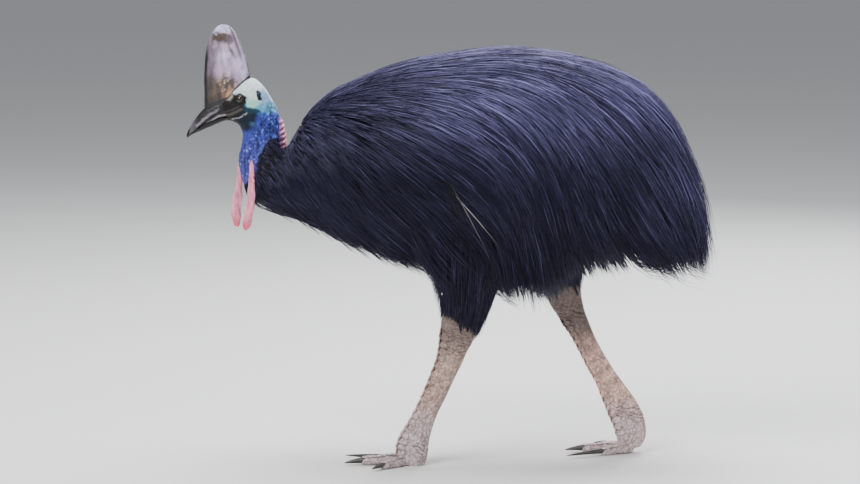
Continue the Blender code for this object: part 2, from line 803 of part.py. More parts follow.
def shank_object(name, sections, group, material=None, grow=0.0):
    """Bare lower leg from the ankle to the pad under the knuckle, with plates down its front."""
    rows = flat_rows(sections)
    last = len(sections) - 1
    rings = []
    for share, rise in scute_stations(SHANK_SCUTE_START, SHANK_SCUTE_END, SHANK_SCUTES,
                                      SHANK_STEPS_ABOVE, SHANK_STEPS_BELOW):
        row = blend_rows(rows, share * last)
        ring = []
        for side in range(LEG_SIDES):
            angle = math.tau * side / LEG_SIDES
            ring.append(section_point(row, angle, LEG_ROUNDNESS, grow + scute_rise(rise, angle)))
        rings.append(ring)
    _, _, onward = section_frame(rows[0])
    downward = math.copysign(GAP / 2, -onward.z)
    rings[0] = [point + onward * downward for point in rings[0]]
    return loft(name, rings, group, material)


def toe_point(which, share, angle, grow=0.0):
    """Point on a toe in its own frame, pointing along -X from the knuckle; angle 0 is its top."""
    pad = abs(math.sin(math.pi * TOE_PADS[which] * share))
    swell = 1.0 - PAD_SWELL + PAD_SWELL * pad
    half_width = TOE_HALF_WIDTH[which] * (1.0 - TOE_NARROWS * share) * swell
    tall = TOE_HEIGHT[which] * (1.0 - TOE_LOWERS * share) * swell
    middle_z = tall / 2 - PAD_SINK * pad + PAD_SINK / 2
    along = TOE_ROOT[which] * (1.0 - share) + TOE_LENGTH[which] * share
    return Vector((-along,
                   math.sin(angle) * (half_width + grow),
                   middle_z + math.cos(angle) * (tall / 2 + grow)))


def toe_object(name, which, group, place, turn, material=None, grow=0.0):
    """One toe at its knuckle, with plates along its top, turned and set flat on the floor."""
    rings = []
    for share, rise in scute_stations(TOE_SCUTE_START, TOE_SCUTE_END, TOE_SCUTES[which], 2, 2):
        rings.append([toe_point(which, share, angle, grow + scute_rise(rise, angle))
                      for angle in even_steps(0.0, math.tau, TOE_SIDES)[:-1]])
    rings[-1] = [point - Vector((grow, 0, 0)) for point in rings[-1]]
    toe = loft(name, rings, group, material)
    if not grow:
        clamp_to_floor(toe)
    toe.location = (place[0], place[1], FLOOR)
    toe.rotation_euler = (0.0, 0.0, turn)
    return toe


def claw_object(name, which, bench, place, turn):
    """A claw from the end of its toe, tapering forwards and down to its point."""
    base_height = TOE_HEIGHT[which] * 0.25
    base_width = TOE_HALF_WIDTH[which] * 0.55
    start = 0.008 - TOE_LENGTH[which]
    rings = []
    for share in even_steps(0.0, 1.0, CLAW_STEPS):
        taper = (1 - share) ** 0.75 * 0.94 + 0.06
        middle_z = CLAW_HEIGHT - CLAW_DROP[which] * share**1.6
        ring = []
        for side in range(CLAW_SIDES):
            angle = math.tau * side / CLAW_SIDES
            ring.append(Vector((start - CLAW_LENGTH[which] * share,
                                math.cos(angle) * base_width * taper,
                                middle_z + math.sin(angle) * base_height * taper)))
        rings.append(ring)
    claw = loft(name, rings, bench.pieces, bench.materials["claw"])
    claw.location = (place[0], place[1], FLOOR)
    claw.rotation_euler = (0.0, 0.0, turn)
    return claw


def build_foot(side, sections, place, foot_turn, bench):
    """Shank, three toes and three claws of one side."""
    shank = shank_object("shank_" + side, sections, bench.pieces, bench.materials["leg"])
    clamp_to_floor(shank)
    finish_piece(shank, bench)
    outwards = -1 if side == "left" else 1
    middle_turn = math.radians(foot_turn)
    for which in ("middle", "inner", "outer"):
        turn = math.radians(foot_turn - outwards * TOE_TURN[which])
        toe = toe_object("toe_" + which + "_" + side, which, bench.pieces, place, turn,
                         bench.materials["leg"])
        knives = [shank_object("pad", sections, bench.cutters, grow=GAP)]
        if which != "middle":
            knives.append(toe_object("beside", "middle", bench.cutters, place, middle_turn,
                                     grow=GAP))
        cut(toe, knives)
        finish_piece(toe, bench)
        claw = claw_object("claw_" + which + "_" + side, which, bench, place, turn)
        cut(claw, [toe_object("end", which, bench.cutters, place, turn, grow=GAP)])
        finish_piece(claw, bench)
    return shank


def body_cutter(bench):
    """Collar, torso and rump, grown by the gap, to trim what meets them."""
    return tube("body", ["collar", "torso", "rump"], bench.cutters, grow=GAP)


def build_wing(side, bench):
    """Small wing arm on the flank, with its long bare quills; gives back their surface."""
    sign = -1 if side == "left" else 1
    place = Vector((WING_ARM[0], sign * WING_ARM[1], WING_ARM[2]))
    wing = ball("wing_" + side, place, WING_ARM_HALF, bench.pieces, bench.materials["quill"],
                10, 6, WING_ARM_LEAN)
    quills = []
    for root, tip in zip(QUILL_ROOTS, QUILL_TIPS):
        start = Vector((root[0], sign * QUILL_ROOT_Y, root[1]))
        end = Vector((tip[0], sign * QUILL_TIP_Y, tip[1]))
        rings = []
        for share in even_steps(0.0, 1.0, QUILL_STEPS):
            middle = start.lerp(end, share)
            middle.y += sign * QUILL_BOW * math.sin(math.pi * share)
            radius = QUILL_RADIUS * (1 - 0.75 * share)
            ring = []
            for turn in range(QUILL_SIDES):
                angle = math.tau * turn / QUILL_SIDES
                ring.append(middle + Vector((math.cos(angle), math.sin(angle), 0.0)) * radius)
            rings.append(ring)
        quills.append(loft("quill", rings, bench.pieces))
    whole = surface([wing, *quills])
    fuse(wing, quills)
    cut(wing, [body_cutter(bench)])
    finish_piece(wing, bench)
    return whole


def body_flow(point, normal, share):
    """Way that the plumage of the body lies: back over the top, and down the flanks."""
    side = 1.0 - abs(normal.z)
    fall = 0.06 + 0.66 * side
    if normal.z < 0:
        fall = 0.72 * side
    if point.x < -0.20:
        fall *= 0.65
    rear = min(max((normal.x - 0.15) / 0.5, 0.0), 1.0)
    fall = fall + (1.0 - fall) * rear
    fall = min(fall + 0.22 * share * side, 1.0)
    return Vector((1.0 - fall, 0.0, -fall)).normalized()


def leg_flow(sections):
    """Way that the plumage of a thigh lies: straight down the leg."""
    rows = flat_rows(sections)
    upper, _, _ = section_frame(rows[1])
    lower, _, _ = section_frame(rows[-1])
    along = (lower - upper).normalized()

    def flow(point, normal, share):
        return along

    return flow


def lowest_reach(x):
    """Height of the coat's lower edge at some x."""
    line = np.array(COAT_LINE) * MM
    return float(np.interp(x, line[:, 0], line[:, 1]))


def lock_path(tree, root, length, extra, flow):
    """Points of a lock from its sunk root to its tip, each with the way out of the body."""
    place, normal, _, _ = tree.find_nearest(root)
    belly = normal.z < -0.4
    point = root.copy()
    path = []
    hanging = False
    step_length = length / LOCK_PATH_STEPS
    for step in range(LOCK_PATH_STEPS + 1):
        share = step / LOCK_PATH_STEPS
        settled = min(share / LOCK_ROOT_SHARE, 1.0)
        wanted = -LOCK_SINK * (1 - settled) + settled * (LOCK_CLEAR + extra
                                                          + LOCK_SLOPE * length * share)
        place, surface, _, distance = tree.find_nearest(point)
        height = math.copysign(distance, (point - place).dot(surface))
        if not hanging:
            normal = surface
            leave = REAR_LEAVE if surface.x > 0.5 else FLANK_LEAVE
            hanging = surface.z < leave and not belly and share > LOCK_ROOT_SHARE
        if not hanging or height < wanted:
            point = place + surface * wanted
        if share > LOCK_ROOT_SHARE and point.z < lowest_reach(point.x):
            break
        path.append((point.copy(), normal.copy()))
        way = flow(point, normal, share)
        if hanging:
            room = min(max((REAR_END - point.x) / REAR_EASE, 0.0), 1.0)
            away = Vector((normal.x * REAR_SPREAD * room, 0.0, -1.0))
            way = (way + away).normalized()
            normal = Vector((normal.x, normal.y, normal.z * 0.5)).normalized()
        else:
            way = (way - normal * way.dot(normal)).normalized()
        point = point + way * step_length
    return path


def lock_mesh(path, width, thickness, grow=0.0):
    """Points and triangles of a flat, tapered lock with a ridge along its outer side."""
    count = len(path) - 1
    points = []
    for share, wide, thick in zip(LOCK_SHARES, LOCK_WIDTHS, LOCK_THICKNESSES):
        low = min(int(share * count), count - 1)
        t = share * count - low
        place = path[low][0].lerp(path[low + 1][0], t)
        normal = path[low][1].lerp(path[low + 1][1], t)
        along = (path[low + 1][0] - path[low][0]).normalized()
        normal = (normal - along * normal.dot(along)).normalized()
        if not wide:
            points.append(place + along * grow)
            continue
        sideways = along.cross(normal) * (width * wide / 2 + grow)
        under = place - normal * grow
        points += [under - sideways, place + normal * (thickness * thick + grow), under + sideways]
    rings = len(LOCK_SHARES) - 1
    faces = band_faces(rings, 3)
    faces.append((0, 1, 2))
    tip = len(points) - 1
    last = tip - 3
    faces += [(last, last + 1, tip), (last + 1, last + 2, tip), (last + 2, last, tip)]
    return points, faces


def lay_lock(tree, others, root, length, width, flow, bench):
    """Make one lock, raised or shortened until it clears its neighbours, or None."""
    for shorter, extra in ((1.0, 0.0), (1.0, 0.005), (1.0, 0.010), (0.75, 0.003), (0.6, 0.008)):
        path = lock_path(tree, root, length * shorter, extra, flow)
        if len(path) < 0.4 * LOCK_PATH_STEPS:
            return None
        points, faces = lock_mesh(path, width, LOCK_THICKNESS, LOCK_TEST_MARGIN)
        trial = BVHTree.FromPolygons(points, faces)
        if not any(trial.overlap(other) for other in others):
            points, faces = lock_mesh(path, width, LOCK_THICKNESS)
            return mesh_object("lock", points, faces, bench.pieces)
    return None


def grow_coat(rows, sections, roundness, ground, others, flow, bench, clear_of=None):
    """Lay rows of locks on the ground round a stretch of sections, clear of other surfaces."""
    chance = random.Random(COAT_SEED)
    locks = []
    for number, row in enumerate(rows):
        section = blend_rows(sections, row.at)
        ring = section_ring(section, 48, roundness)
        around = sum((ring[step] - ring[step - 1]).length for step in range(48))
        count = max(round(around / row.spacing), 5)
        for step in range(count):
            turn = math.tau * (step + 0.5 * (number % 2) + chance.uniform(-0.14, 0.14)) / count
            if not row.start <= abs(math.degrees(math.remainder(turn, math.tau))) <= row.end:
                continue
            at = row.at + chance.uniform(-0.05, 0.05)
            root = section_point(blend_rows(sections, at), turn, roundness)
            length = row.length * chance.uniform(0.90, 1.10)
            width = row.width * chance.uniform(0.90, 1.10)
            if clear_of:
                _, _, _, distance = clear_of.find_nearest(root)
                if distance < 0.014:
                    continue
            lock = lay_lock(ground, others, root, length, width, flow, bench)
            if lock:
                locks.append(lock)
    return locks


def build_thigh(side, sections, shank, bench):
    """Feathered thigh, cut to the belly above it, with locks down to the ankle."""
    rows = flat_rows(sections)
    places = even_steps(0, len(sections) - 1, THIGH_STEPS)
    thigh = section_loft("thigh_" + side, rows, places, LEG_SIDES, LEG_ROUNDNESS, bench.pieces,
                         bench.materials["plumage"], trim=(0, GAP / 2))
    bare = surface([thigh])
    body = body_cutter(bench)
    others = [search_tree(surface([body, shank]))]
    cut(thigh, [body])
    locks = grow_coat(THIGH_ROWS, rows, LEG_ROUNDNESS, search_tree(bare, surface([shank])),
                      others, leg_flow(sections), bench)
    return Coat(thigh, bare, locks)


def bare_surface(stretches, bench):
    """Surface of some stretches of the main row of sections, without their coat."""
    bare = tube("bare", stretches, bench.cutters)
    found = surface([bare])
    bpy.data.objects.remove(bare, do_unlink=True)
    return found


def build_body(thighs, shanks, wings, bench):
    """Rump, torso and collar from the rear, each with its coat laid over what is behind it."""
    bare_thighs = [coat.bare for coat in thighs]
    legs = surface(shanks)
    ground = search_tree(bare_surface(["collar", "torso", "rump"], bench), legs, *bare_thighs)
    clear_of = search_tree(*bare_thighs)
    coats = list(thighs)
    for name, rows, ahead in (("rump", RUMP_ROWS, "torso"), ("torso", TORSO_ROWS, "collar"),
                              ("collar", COLLAR_ROWS, "neck")):
        last_trim = 0.0 if name == "rump" else GAP / 2
        piece = tube(name, [name], bench.pieces, bench.materials["plumage"],
                     trim=(GAP / 2, last_trim))
        others = [search_tree(coat.bare, surface(coat.locks)) for coat in coats]
        others.append(search_tree(legs, *wings, bare_surface([ahead], bench)))
        locks = grow_coat(rows, TUBE_ROWS, TUBE_ROUNDNESS, ground, others, body_flow, bench,
                          clear_of)
        coats.append(Coat(piece, surface([piece]), locks))
    for coat in coats:
        fuse(coat.piece, coat.locks, "MANIFOLD")
        finish_piece(coat.piece, bench)


def main():
    """Build the whole bird."""
    clear_scene()
    bench = make_bench()
    build_head(bench)
    build_bill(bench)
    build_casque(bench)
    build_neck(bench)
    build_wattles(bench)
    legs = (
        ("left", THIGH_LEFT_SECTIONS, SHANK_LEFT_SECTIONS, KNUCKLE_LEFT, FOOT_TURN_LEFT),
        ("right", THIGH_RIGHT_SECTIONS, SHANK_RIGHT_SECTIONS, KNUCKLE_RIGHT, FOOT_TURN_RIGHT),
    )
    thighs = []
    shanks = []
    wings = []
    for side, thigh, shank, knuckle, turn in legs:
        shanks.append(build_foot(side, shank, knuckle, turn, bench))
        thighs.append(build_thigh(side, thigh, shanks[-1], bench))
        wings.append(build_wing(side, bench))
    build_body(thighs, shanks, wings, bench)


main()
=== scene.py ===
"""Dresses a life-size southern cassowary in mid stride, a still museum model, for a studio picture.

The bird faces -X with its left side towards -Y. One skin covers head, neck, body, legs and toes;
the horn of the casque, bill and claws, the eyes, the quills and the coat are pieces of their own.
"""

import logging
import math
from dataclasses import dataclass, field
from enum import Enum
from functools import cached_property

import bmesh
import bpy
import numpy as np
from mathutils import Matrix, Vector, noise
from mathutils.bvhtree import BVHTree


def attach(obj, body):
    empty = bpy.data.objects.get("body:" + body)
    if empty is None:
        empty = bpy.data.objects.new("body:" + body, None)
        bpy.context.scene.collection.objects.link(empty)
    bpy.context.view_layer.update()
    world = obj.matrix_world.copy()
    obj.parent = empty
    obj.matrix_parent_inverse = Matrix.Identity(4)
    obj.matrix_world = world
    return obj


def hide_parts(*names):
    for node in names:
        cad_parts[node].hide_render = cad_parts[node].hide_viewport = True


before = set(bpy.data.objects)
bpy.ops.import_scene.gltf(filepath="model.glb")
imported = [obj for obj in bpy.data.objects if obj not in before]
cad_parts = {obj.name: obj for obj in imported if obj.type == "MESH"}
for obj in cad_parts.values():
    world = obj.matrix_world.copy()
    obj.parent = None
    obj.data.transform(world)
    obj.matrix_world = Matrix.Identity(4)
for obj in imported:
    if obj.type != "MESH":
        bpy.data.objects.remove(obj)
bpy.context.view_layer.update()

LOG = logging.getLogger("cassowary")
MM = 0.001
ACROSS = np.array([0.0, 1.0, 0.0])
SEED = 41

Pair = tuple[float, float]
Triple = tuple[float, float, float]
Sections = list[tuple[Pair, Pair, float]]

# Sections of head and body, front to back, in millimetres: point on the top line (x, z), point on
# the under line (x, z), and half the width
BILL_SECTIONS: Sections = [
    ((-616, 768), (-615, 763), 2.0), ((-613, 778), (-611, 765), 5.0),
    ((-605, 793), (-599, 772), 8.5), ((-592, 812), (-580, 780), 12.0),
    ((-576, 830), (-559, 789), 15.5), ((-556, 844), (-535, 799), 19.0),
]
HEAD_SECTIONS: Sections = [
    ((-535, 858), (-516, 804), 21.5), ((-519, 871), (-502, 800), 28.0),
    ((-498, 887), (-491, 793), 34.0), ((-476, 901), (-485, 783), 37.5),
    ((-455, 901), (-481, 773), 39.0), ((-434, 882), (-480, 761), 38.0),
    ((-418, 857), (-480, 749), 36.0), ((-405, 832), (-481, 736), 34.5),
]
NECK_SECTIONS: Sections = [
    ((-395, 804), (-484, 721), 34.0), ((-389, 773), (-485, 697), 36.0),
    ((-385, 747), (-481, 657), 41.0),
]
BODY_SECTIONS: Sections = [
    ((-379, 739), (-465, 616), 51.0), ((-369, 754), (-429, 595), 62.0),
    ((-351, 788), (-389, 582), 76.0), ((-330, 820), (-342, 570), 91.0),
    ((-298, 851), (-293, 552), 108.0), ((-253, 880), (-241, 538), 130.0),
    ((-116, 934), (-110, 500), 170.0), ((72, 962), (78, 482), 200.0),
    ((200, 962), (203, 478), 205.0), ((320, 937), (312, 486), 196.0),
    ((418, 898), (402, 500), 170.0), ((486, 835), (466, 526), 132.0),
    ((531, 757), (516, 563), 86.0), ((553, 693), (543, 618), 40.0),
    ((560, 670), (556, 645), 15.0),
]
TUBE_ROUNDNESS = 2.25
HEAD_AT = 6.0
NECK_AT = 13.0
COLLAR_AT = 16.0
END_AT = 31.0

# Legs: the same, with y of the middle of each section as the last number
THIGH_LEFT = [
    ((-81, 640), (138, 640), 74.0, -98), ((-67, 548), (133, 540), 74.0, -98),
    ((-46, 484), (121, 469), 64.0, -96), ((-25, 422), (98, 401), 48.0, -92),
    ((-16, 379), (80, 355), 36.0, -87), ((-20, 344), (66, 317), 29.0, -84),
]
SHANK_LEFT = [
    ((-20, 344), (66, 317), 29.0, -84), ((-22, 320), (54, 292), 27.0, -82),
    ((-25, 284), (40, 267), 24.0, -80), ((-31, 251), (29, 241), 21.5, -78),
    ((-46, 211), (11, 204), 19.5, -77), ((-62, 171), (-8, 162), 18.5, -76),
    ((-81, 130), (-26, 126), 19.0, -75), ((-100, 95), (-39, 90), 21.0, -74),
    ((-117, 66), (-47, 59), 25.0, -73), ((-125, 38), (-51, 28), 28.0, -73),
    ((-118, 10), (-56, 6), 25.0, -73), ((-108, -6), (-66, -8), 20.0, -73),
]
THIGH_RIGHT = [
    ((48, 630), (274, 655), 74.0, 98), ((107, 511), (295, 565), 72.0, 97),
    ((166, 452), (307, 506), 60.0, 95), ((204, 409), (309, 454), 45.0, 91),
    ((229, 373), (309, 414), 35.0, 87), ((248, 343), (314, 380), 29.0, 85),
]
SHANK_RIGHT = [
    ((248, 343), (314, 380), 29.0, 85), ((267, 316), (321, 347), 26.0, 83),
    ((286, 290), (333, 314), 23.5, 81), ((307, 252), (349, 276), 21.0, 79),
    ((328, 210), (372, 234), 19.5, 78), ((349, 172), (396, 196), 19.0, 77),
    ((366, 129), (422, 160), 20.5, 76), ((380, 94), (449, 122), 23.5, 75),
    ((394, 62), (466, 84), 26.0, 75), ((402, 30), (470, 44), 26.0, 75),
    ((412, 12), (458, 16), 20.0, 75),
]
LEG_ROUNDNESS = 2.2

# Feet, as in the solids
TOE_TURN = {"inner": -30.0, "middle": 0.0, "outer": 40.0}
TOE_LENGTH = {"inner": 0.086, "middle": 0.124, "outer": 0.102}
TOE_HALF_WIDTH = {"inner": 0.0135, "middle": 0.0165, "outer": 0.014}
TOE_HEIGHT = {"inner": 0.027, "middle": 0.031, "outer": 0.028}
TOE_PADS = {"inner": 2, "middle": 3, "outer": 3}
TOE_NARROWS = 0.3
TOE_LOWERS = 0.36
PAD_SWELL = 0.12
PAD_SINK = 0.0016
CLAW_LENGTH = {"inner": 0.1, "middle": 0.044, "outer": 0.036}
CLAW_DROP = {"inner": 0.004, "middle": 0.006, "outer": 0.006}
CLAW_HEIGHT = 0.0115

# Face: mouth line, fold before the eye and middle of the ear as x and z, and middle of the eye
MOUTH_LINE = [(-0.476, 0.819), (-0.505, 0.813), (-0.535, 0.811), (-0.571, 0.797),
              (-0.605, 0.774), (-0.625, 0.757)]
LORE_LINE = [(-0.55, 0.806), (-0.488, 0.8328), (-0.47, 0.836)]
EYE_PLACE = (-0.4885, 0.0275, 0.8555)
EYE_RADIUS = 0.0112
EAR_PLACE = (-0.444, 0.862)

# Colours of the bare skin, and of the skin that the coat covers: near black, partly the plumage's
# own dark and partly painted shade deep in the coat
MINT = (0.84, 0.98, 0.98)
AQUA = (0.24, 0.62, 0.92)
AZURE = (0.07, 0.21, 0.66)
COBALT = (0.046, 0.072, 0.46)
VIOLET = (0.095, 0.085, 0.48)
BLACK = (0.0, 0.0, 0.0)
UNDER_COAT = (0.0022, 0.0024, 0.0045)

# Upper edge of the plumage on the side of the neck, as x and z
FEATHER_LINE = [(-0.374, 1.1), (-0.38, 0.778), (-0.4015, 0.769), (-0.4211, 0.7625),
                (-0.4354, 0.7477), (-0.448, 0.7209), (-0.452, 0.692), (-0.4711, 0.664),
                (-0.505, 0.638)]

# Lowest reach of the coat along the bird, as x and z in millimetres
COAT_LINE = [(-440, 612), (-370, 585), (-270, 532), (-200, 494), (-142, 460), (-70, 446),
             (0, 418), (70, 392), (110, 402), (182, 366), (235, 364), (300, 430), (400, 452),
             (450, 464), (500, 452), (535, 430), (578, 440), (620, 418)]

# Lie of the coat on the flank, in degrees below the way back: for each x, from back to belly
LIE_X = [-0.42, -0.25, -0.08, 0.05, 0.15, 0.25, 0.35, 0.45, 0.56]
LIE_Z = [0.48, 0.6, 0.72, 0.84, 0.96]
LIE_DEGREES = [
    [40, 50, 46, 26, 12],
    [42, 50, 39, 14, 2],
    [42, 43, 34, 19, 5],
    [56, 47, 31, 31, 10],
    [78, 76, 57, 40, 18],
    [80, 76, 64, 48, 27],
    [66, 64, 58, 46, 30],
    [52, 53, 51, 46, 36],
    [60, 60, 56, 54, 48],
]

# Least fall of the free ends behind the body, in degrees, for each x
REAR_X = [0.42, 0.48, 0.52, 0.555, 0.58, 0.6, 0.614]
REAR_FALL = [0.0, 50.0, 60.0, 70.0, 77.0, 83.0, 89.0]


class Side(Enum):
    """The two sides of the bird, with the sign of y on each."""

    LEFT = -1
    RIGHT = 1

    @property
    def word(self) -> str:
        """The side's name as the solids use it."""
        return self.name.lower()


class Body(Enum):
    """Bodies of the frame that pieces ride on."""

    ROOT = "root"


def blend_rows(rows: np.ndarray, at: np.ndarray) -> np.ndarray:
    """Value of a smooth curve through the rows at fractional row numbers.

    Args:
        rows: One row of numbers for each section.
        at: Fractional row numbers.

    Returns:
        One row of numbers for each place.
    """
    count = len(rows)
    at = np.clip(np.asarray(at, dtype=float), 0.0, count - 1.0)
    low = np.minimum(at.astype(int), count - 2)
    t = (at - low)[..., None]
    before = rows[np.maximum(low - 1, 0)]
    start = rows[low]
    end = rows[low + 1]
    after = rows[np.minimum(low + 2, count - 1)]
    pull_start = (end - before) * 0.5
    pull_end = (after - start) * 0.5
    return (start * (2 * t**3 - 3 * t**2 + 1) + pull_start * (t**3 - 2 * t**2 + t)
            + end * (3 * t**2 - 2 * t**3) + pull_end * (t**3 - t**2))


def flat_rows(sections: list) -> np.ndarray:
    """Sections as rows in metres: first x, z, second x, z, half width and middle y."""
    rows = [[*section[0], *section[1], section[2], section[3] if len(section) > 3 else 0.0]
            for section in sections]
    return np.array(rows, dtype=float) * MM


TUBE_ROWS = flat_rows(BILL_SECTIONS + HEAD_SECTIONS + NECK_SECTIONS + BODY_SECTIONS)


def oval_points(rows: np.ndarray, at: np.ndarray, angle: np.ndarray, roundness: float,
                grow: np.ndarray | float = 0.0) -> np.ndarray:
    """Points on the ovals of a row of sections.

    Args:
        rows: Flat rows of sections.
        at: Fractional row numbers.
        angle: Angles from the first point of each section, of the same shape.
        roundness: Power of the oval; 2 is an ellipse.
        grow: Distance to stand out from the oval.

    Returns:
        Points of the same shape with three coordinates each.
    """
    row = blend_rows(rows, at)
    first = np.stack([row[..., 0], row[..., 5], row[..., 1]], axis=-1)
    second = np.stack([row[..., 2], row[..., 5], row[..., 3]], axis=-1)
    rise = (first - second) / 2
    tall = np.linalg.norm(rise, axis=-1)
    up = np.sign(np.cos(angle)) * np.abs(np.cos(angle)) ** (2 / roundness)
    out = np.sign(np.sin(angle)) * np.abs(np.sin(angle)) ** (2 / roundness)
    point = (first + second) / 2 + rise / tall[..., None] * (up * (tall + grow))[..., None]
    return point + ACROSS * (out * (row[..., 4] + grow))[..., None]


def unit(vectors: np.ndarray) -> np.ndarray:
    """Vectors of length one."""
    return vectors / np.maximum(np.linalg.norm(vectors, axis=-1, keepdims=True), 1e-12)


def ease(value: np.ndarray, low: float, high: float) -> np.ndarray:
    """Smooth step from 0 at low to 1 at high."""
    t = np.clip((value - low) / (high - low), 0.0, 1.0)
    return t * t * (3 - 2 * t)


def hump(value: np.ndarray, middle: float, half: float) -> np.ndarray:
    """Bell of height one round a middle."""
    return np.exp(-((value - middle) / half) ** 2)


def ring_grid(at: np.ndarray, sides: int) -> list[np.ndarray]:
    """Places along a tube and angles round it, each as a grid."""
    return np.meshgrid(at, np.linspace(0.0, math.tau, sides, endpoint=False), indexing="ij")


def grid_normals(points: np.ndarray) -> np.ndarray:
    """Outward directions of a grid whose second index runs round a tube."""
    along = np.gradient(points, axis=0)
    around = np.roll(points, -1, axis=1) - np.roll(points, 1, axis=1)
    normals = unit(np.cross(around, along))
    middle = points.mean(axis=1, keepdims=True)
    outwards = np.sign(((points - middle) * normals).sum(axis=-1).mean())
    return normals * outwards


def smooth_noise(points: np.ndarray, size: float, seed: float = 0.0) -> np.ndarray:
    """Even noise between about -1 and 1, with lumps of the given size."""
    scaled = points.reshape(-1, 3) / size + seed * 17.3
    values = np.array([noise.noise(Vector(point)) for point in scaled])
    return values.reshape(points.shape[:-1])


def cells(points: np.ndarray, size: float) -> np.ndarray:
    """Domes of a cell pattern: 1 in the middle of each cell, 0 at its edge."""
    scaled = points.reshape(-1, 3) / size
    values = np.empty(len(scaled))
    for index, point in enumerate(scaled):
        distances = noise.voronoi(Vector(point))[0]
        values[index] = min((distances[1] - distances[0]) * 1.6, 1.0)
    return values.reshape(points.shape[:-1])


def line_distance(x: np.ndarray, z: np.ndarray, line: list[Pair]) -> np.ndarray:
    """Distance in the side view from points to a broken line, positive above it."""
    best = np.full(x.shape, 9.0)
    for (x0, z0), (x1, z1) in zip(line, line[1:]):
        length = math.hypot(x1 - x0, z1 - z0)
        t = np.clip(((x - x0) * (x1 - x0) + (z - z0) * (z1 - z0)) / length**2, 0.0, 1.0)
        dx = x - x0 - t * (x1 - x0)
        dz = z - z0 - t * (z1 - z0)
        distance = np.hypot(dx, dz)
        best = np.where(distance < np.abs(best), np.where(dz < 0, -distance, distance), best)
    return best


def zone(x: np.ndarray, z: np.ndarray, outline: list[Pair], soft: float) -> np.ndarray:
    """Share of each point inside an outline in the side view, with a soft edge.

    Args:
        x: First coordinate of the points.
        z: Height of the points.
        outline: Corners of the outline.
        soft: Width of the edge.

    Returns:
        1 inside, 0 outside, and between along the edge.
    """
    nearest = np.full(x.shape, 9.0)
    inside = np.zeros(x.shape, dtype=bool)
    for (x0, z0), (x1, z1) in zip(outline, outline[1:] + outline[:1]):
        length = max(math.hypot(x1 - x0, z1 - z0), 1e-9)
        t = np.clip(((x - x0) * (x1 - x0) + (z - z0) * (z1 - z0)) / length**2, 0.0, 1.0)
        away = np.hypot(x - x0 - t * (x1 - x0), z - z0 - t * (z1 - z0))
        nearest = np.minimum(nearest, away)
        crosses = (z0 > z) != (z1 > z)
        level = np.where(crosses, (x1 - x0) * (z - z0) / ((z1 - z0) or 1e-9) + x0, 9.0)
        inside ^= crosses & (x < level)
    return ease(np.where(inside, nearest, -nearest), -soft / 2, soft / 2)


def nape_half(z: np.ndarray) -> np.ndarray:
    """Half the width of the red strip down the nape at some height."""
    return 0.017 + 0.012 * (1 - ease(z, 0.745, 0.815))


def nape_strip(y: np.ndarray, z: np.ndarray, angle: np.ndarray) -> np.ndarray:
    """Share of each point of the neck within the red strip down the nape."""
    across = 1 - ease(np.abs(y) / nape_half(z), 0.62, 1.0)
    return across * (np.cos(angle) > 0) * ease(z, 0.814, 0.8) * ease(z, 0.715, 0.735)


def height_on_line(x: np.ndarray, line: list[Pair]) -> np.ndarray:
    """Height of a broken line at some x."""
    return np.interp(x, *zip(*sorted(line)))


def grid_faces(rings: int, sides: int, first: int = 0) -> list[tuple[int, ...]]:
    """Quads round a tube of rings, with a flat face at each end."""
    low = np.arange(rings - 1)[:, None] * sides + np.arange(sides)[None, :]
    beside = np.arange(rings - 1)[:, None] * sides + (np.arange(sides)[None, :] + 1) % sides
    quads = np.stack([low, beside, beside + sides, low + sides], axis=-1).reshape(-1, 4) + first
    faces = [tuple(int(corner) for corner in quad) for quad in quads]
    faces.append(tuple(reversed(range(first, first + sides))))
    last = first + (rings - 1) * sides
    faces.append(tuple(range(last, last + sides)))
    return faces


@dataclass
class Shell:
    """Closed surfaces gathered into one mesh, with a colour for each point."""

    points: list[np.ndarray] = field(default_factory=list)
    faces: list[tuple[int, ...]] = field(default_factory=list)
    colours: list[np.ndarray] = field(default_factory=list)
    scaly: list[np.ndarray] = field(default_factory=list)
    count: int = 0

    def add(self, points: np.ndarray, faces: list[tuple[int, ...]],
            colours: np.ndarray | Triple, scaly: float = 0.0) -> None:
        """Add one closed surface.

        Args:
            points: Its corners.
            faces: Its faces, numbered from its own first corner.
            colours: A colour for each corner, or one for all.
            scaly: How far its skin has scales, from 0 to 1.
        """
        points = points.reshape(-1, 3)
        self.points.append(points)
        self.colours.append(np.broadcast_to(np.reshape(colours, (-1, 3)), points.shape))
        self.scaly.append(np.full(len(points), scaly))
        self.faces += [tuple(corner + self.count for corner in face) for face in faces]
        self.count += len(points)

    def add_grid(self, grid: np.ndarray, colours: np.ndarray | Triple) -> "Shell":
        """Add a closed tube given as a grid of rings."""
        self.add(grid, grid_faces(*grid.shape[:2]), colours)
        return self

    def build(self, name: str, material: bpy.types.Material) -> bpy.types.Object:
        """Make the object with its colours.

        Args:
            name: Name of the piece.
            material: Its finish.

        Returns:
            The new object.
        """
        mesh = bpy.data.meshes.new(name)
        points = [tuple(point) for point in np.concatenate(self.points)]
        mesh.from_pydata(points, [], self.faces)
        made = new_object(name, mesh, material)
        turn_outwards(mesh)
        set_hue(mesh, np.concatenate(self.colours))
        scaly = mesh.attributes.new("Scaly", "FLOAT", "POINT")
        scaly.data.foreach_set("value", np.concatenate(self.scaly))
        mesh.shade_smooth()
        return made


def set_hue(mesh: bpy.types.Mesh, colours: np.ndarray) -> None:
    """Give each corner of a mesh its colour."""
    hue = mesh.color_attributes.new("Hue", "FLOAT_COLOR", "POINT")
    shades = np.concatenate([colours, np.ones((len(colours), 1))], axis=1)
    hue.data.foreach_set("color", shades.ravel())


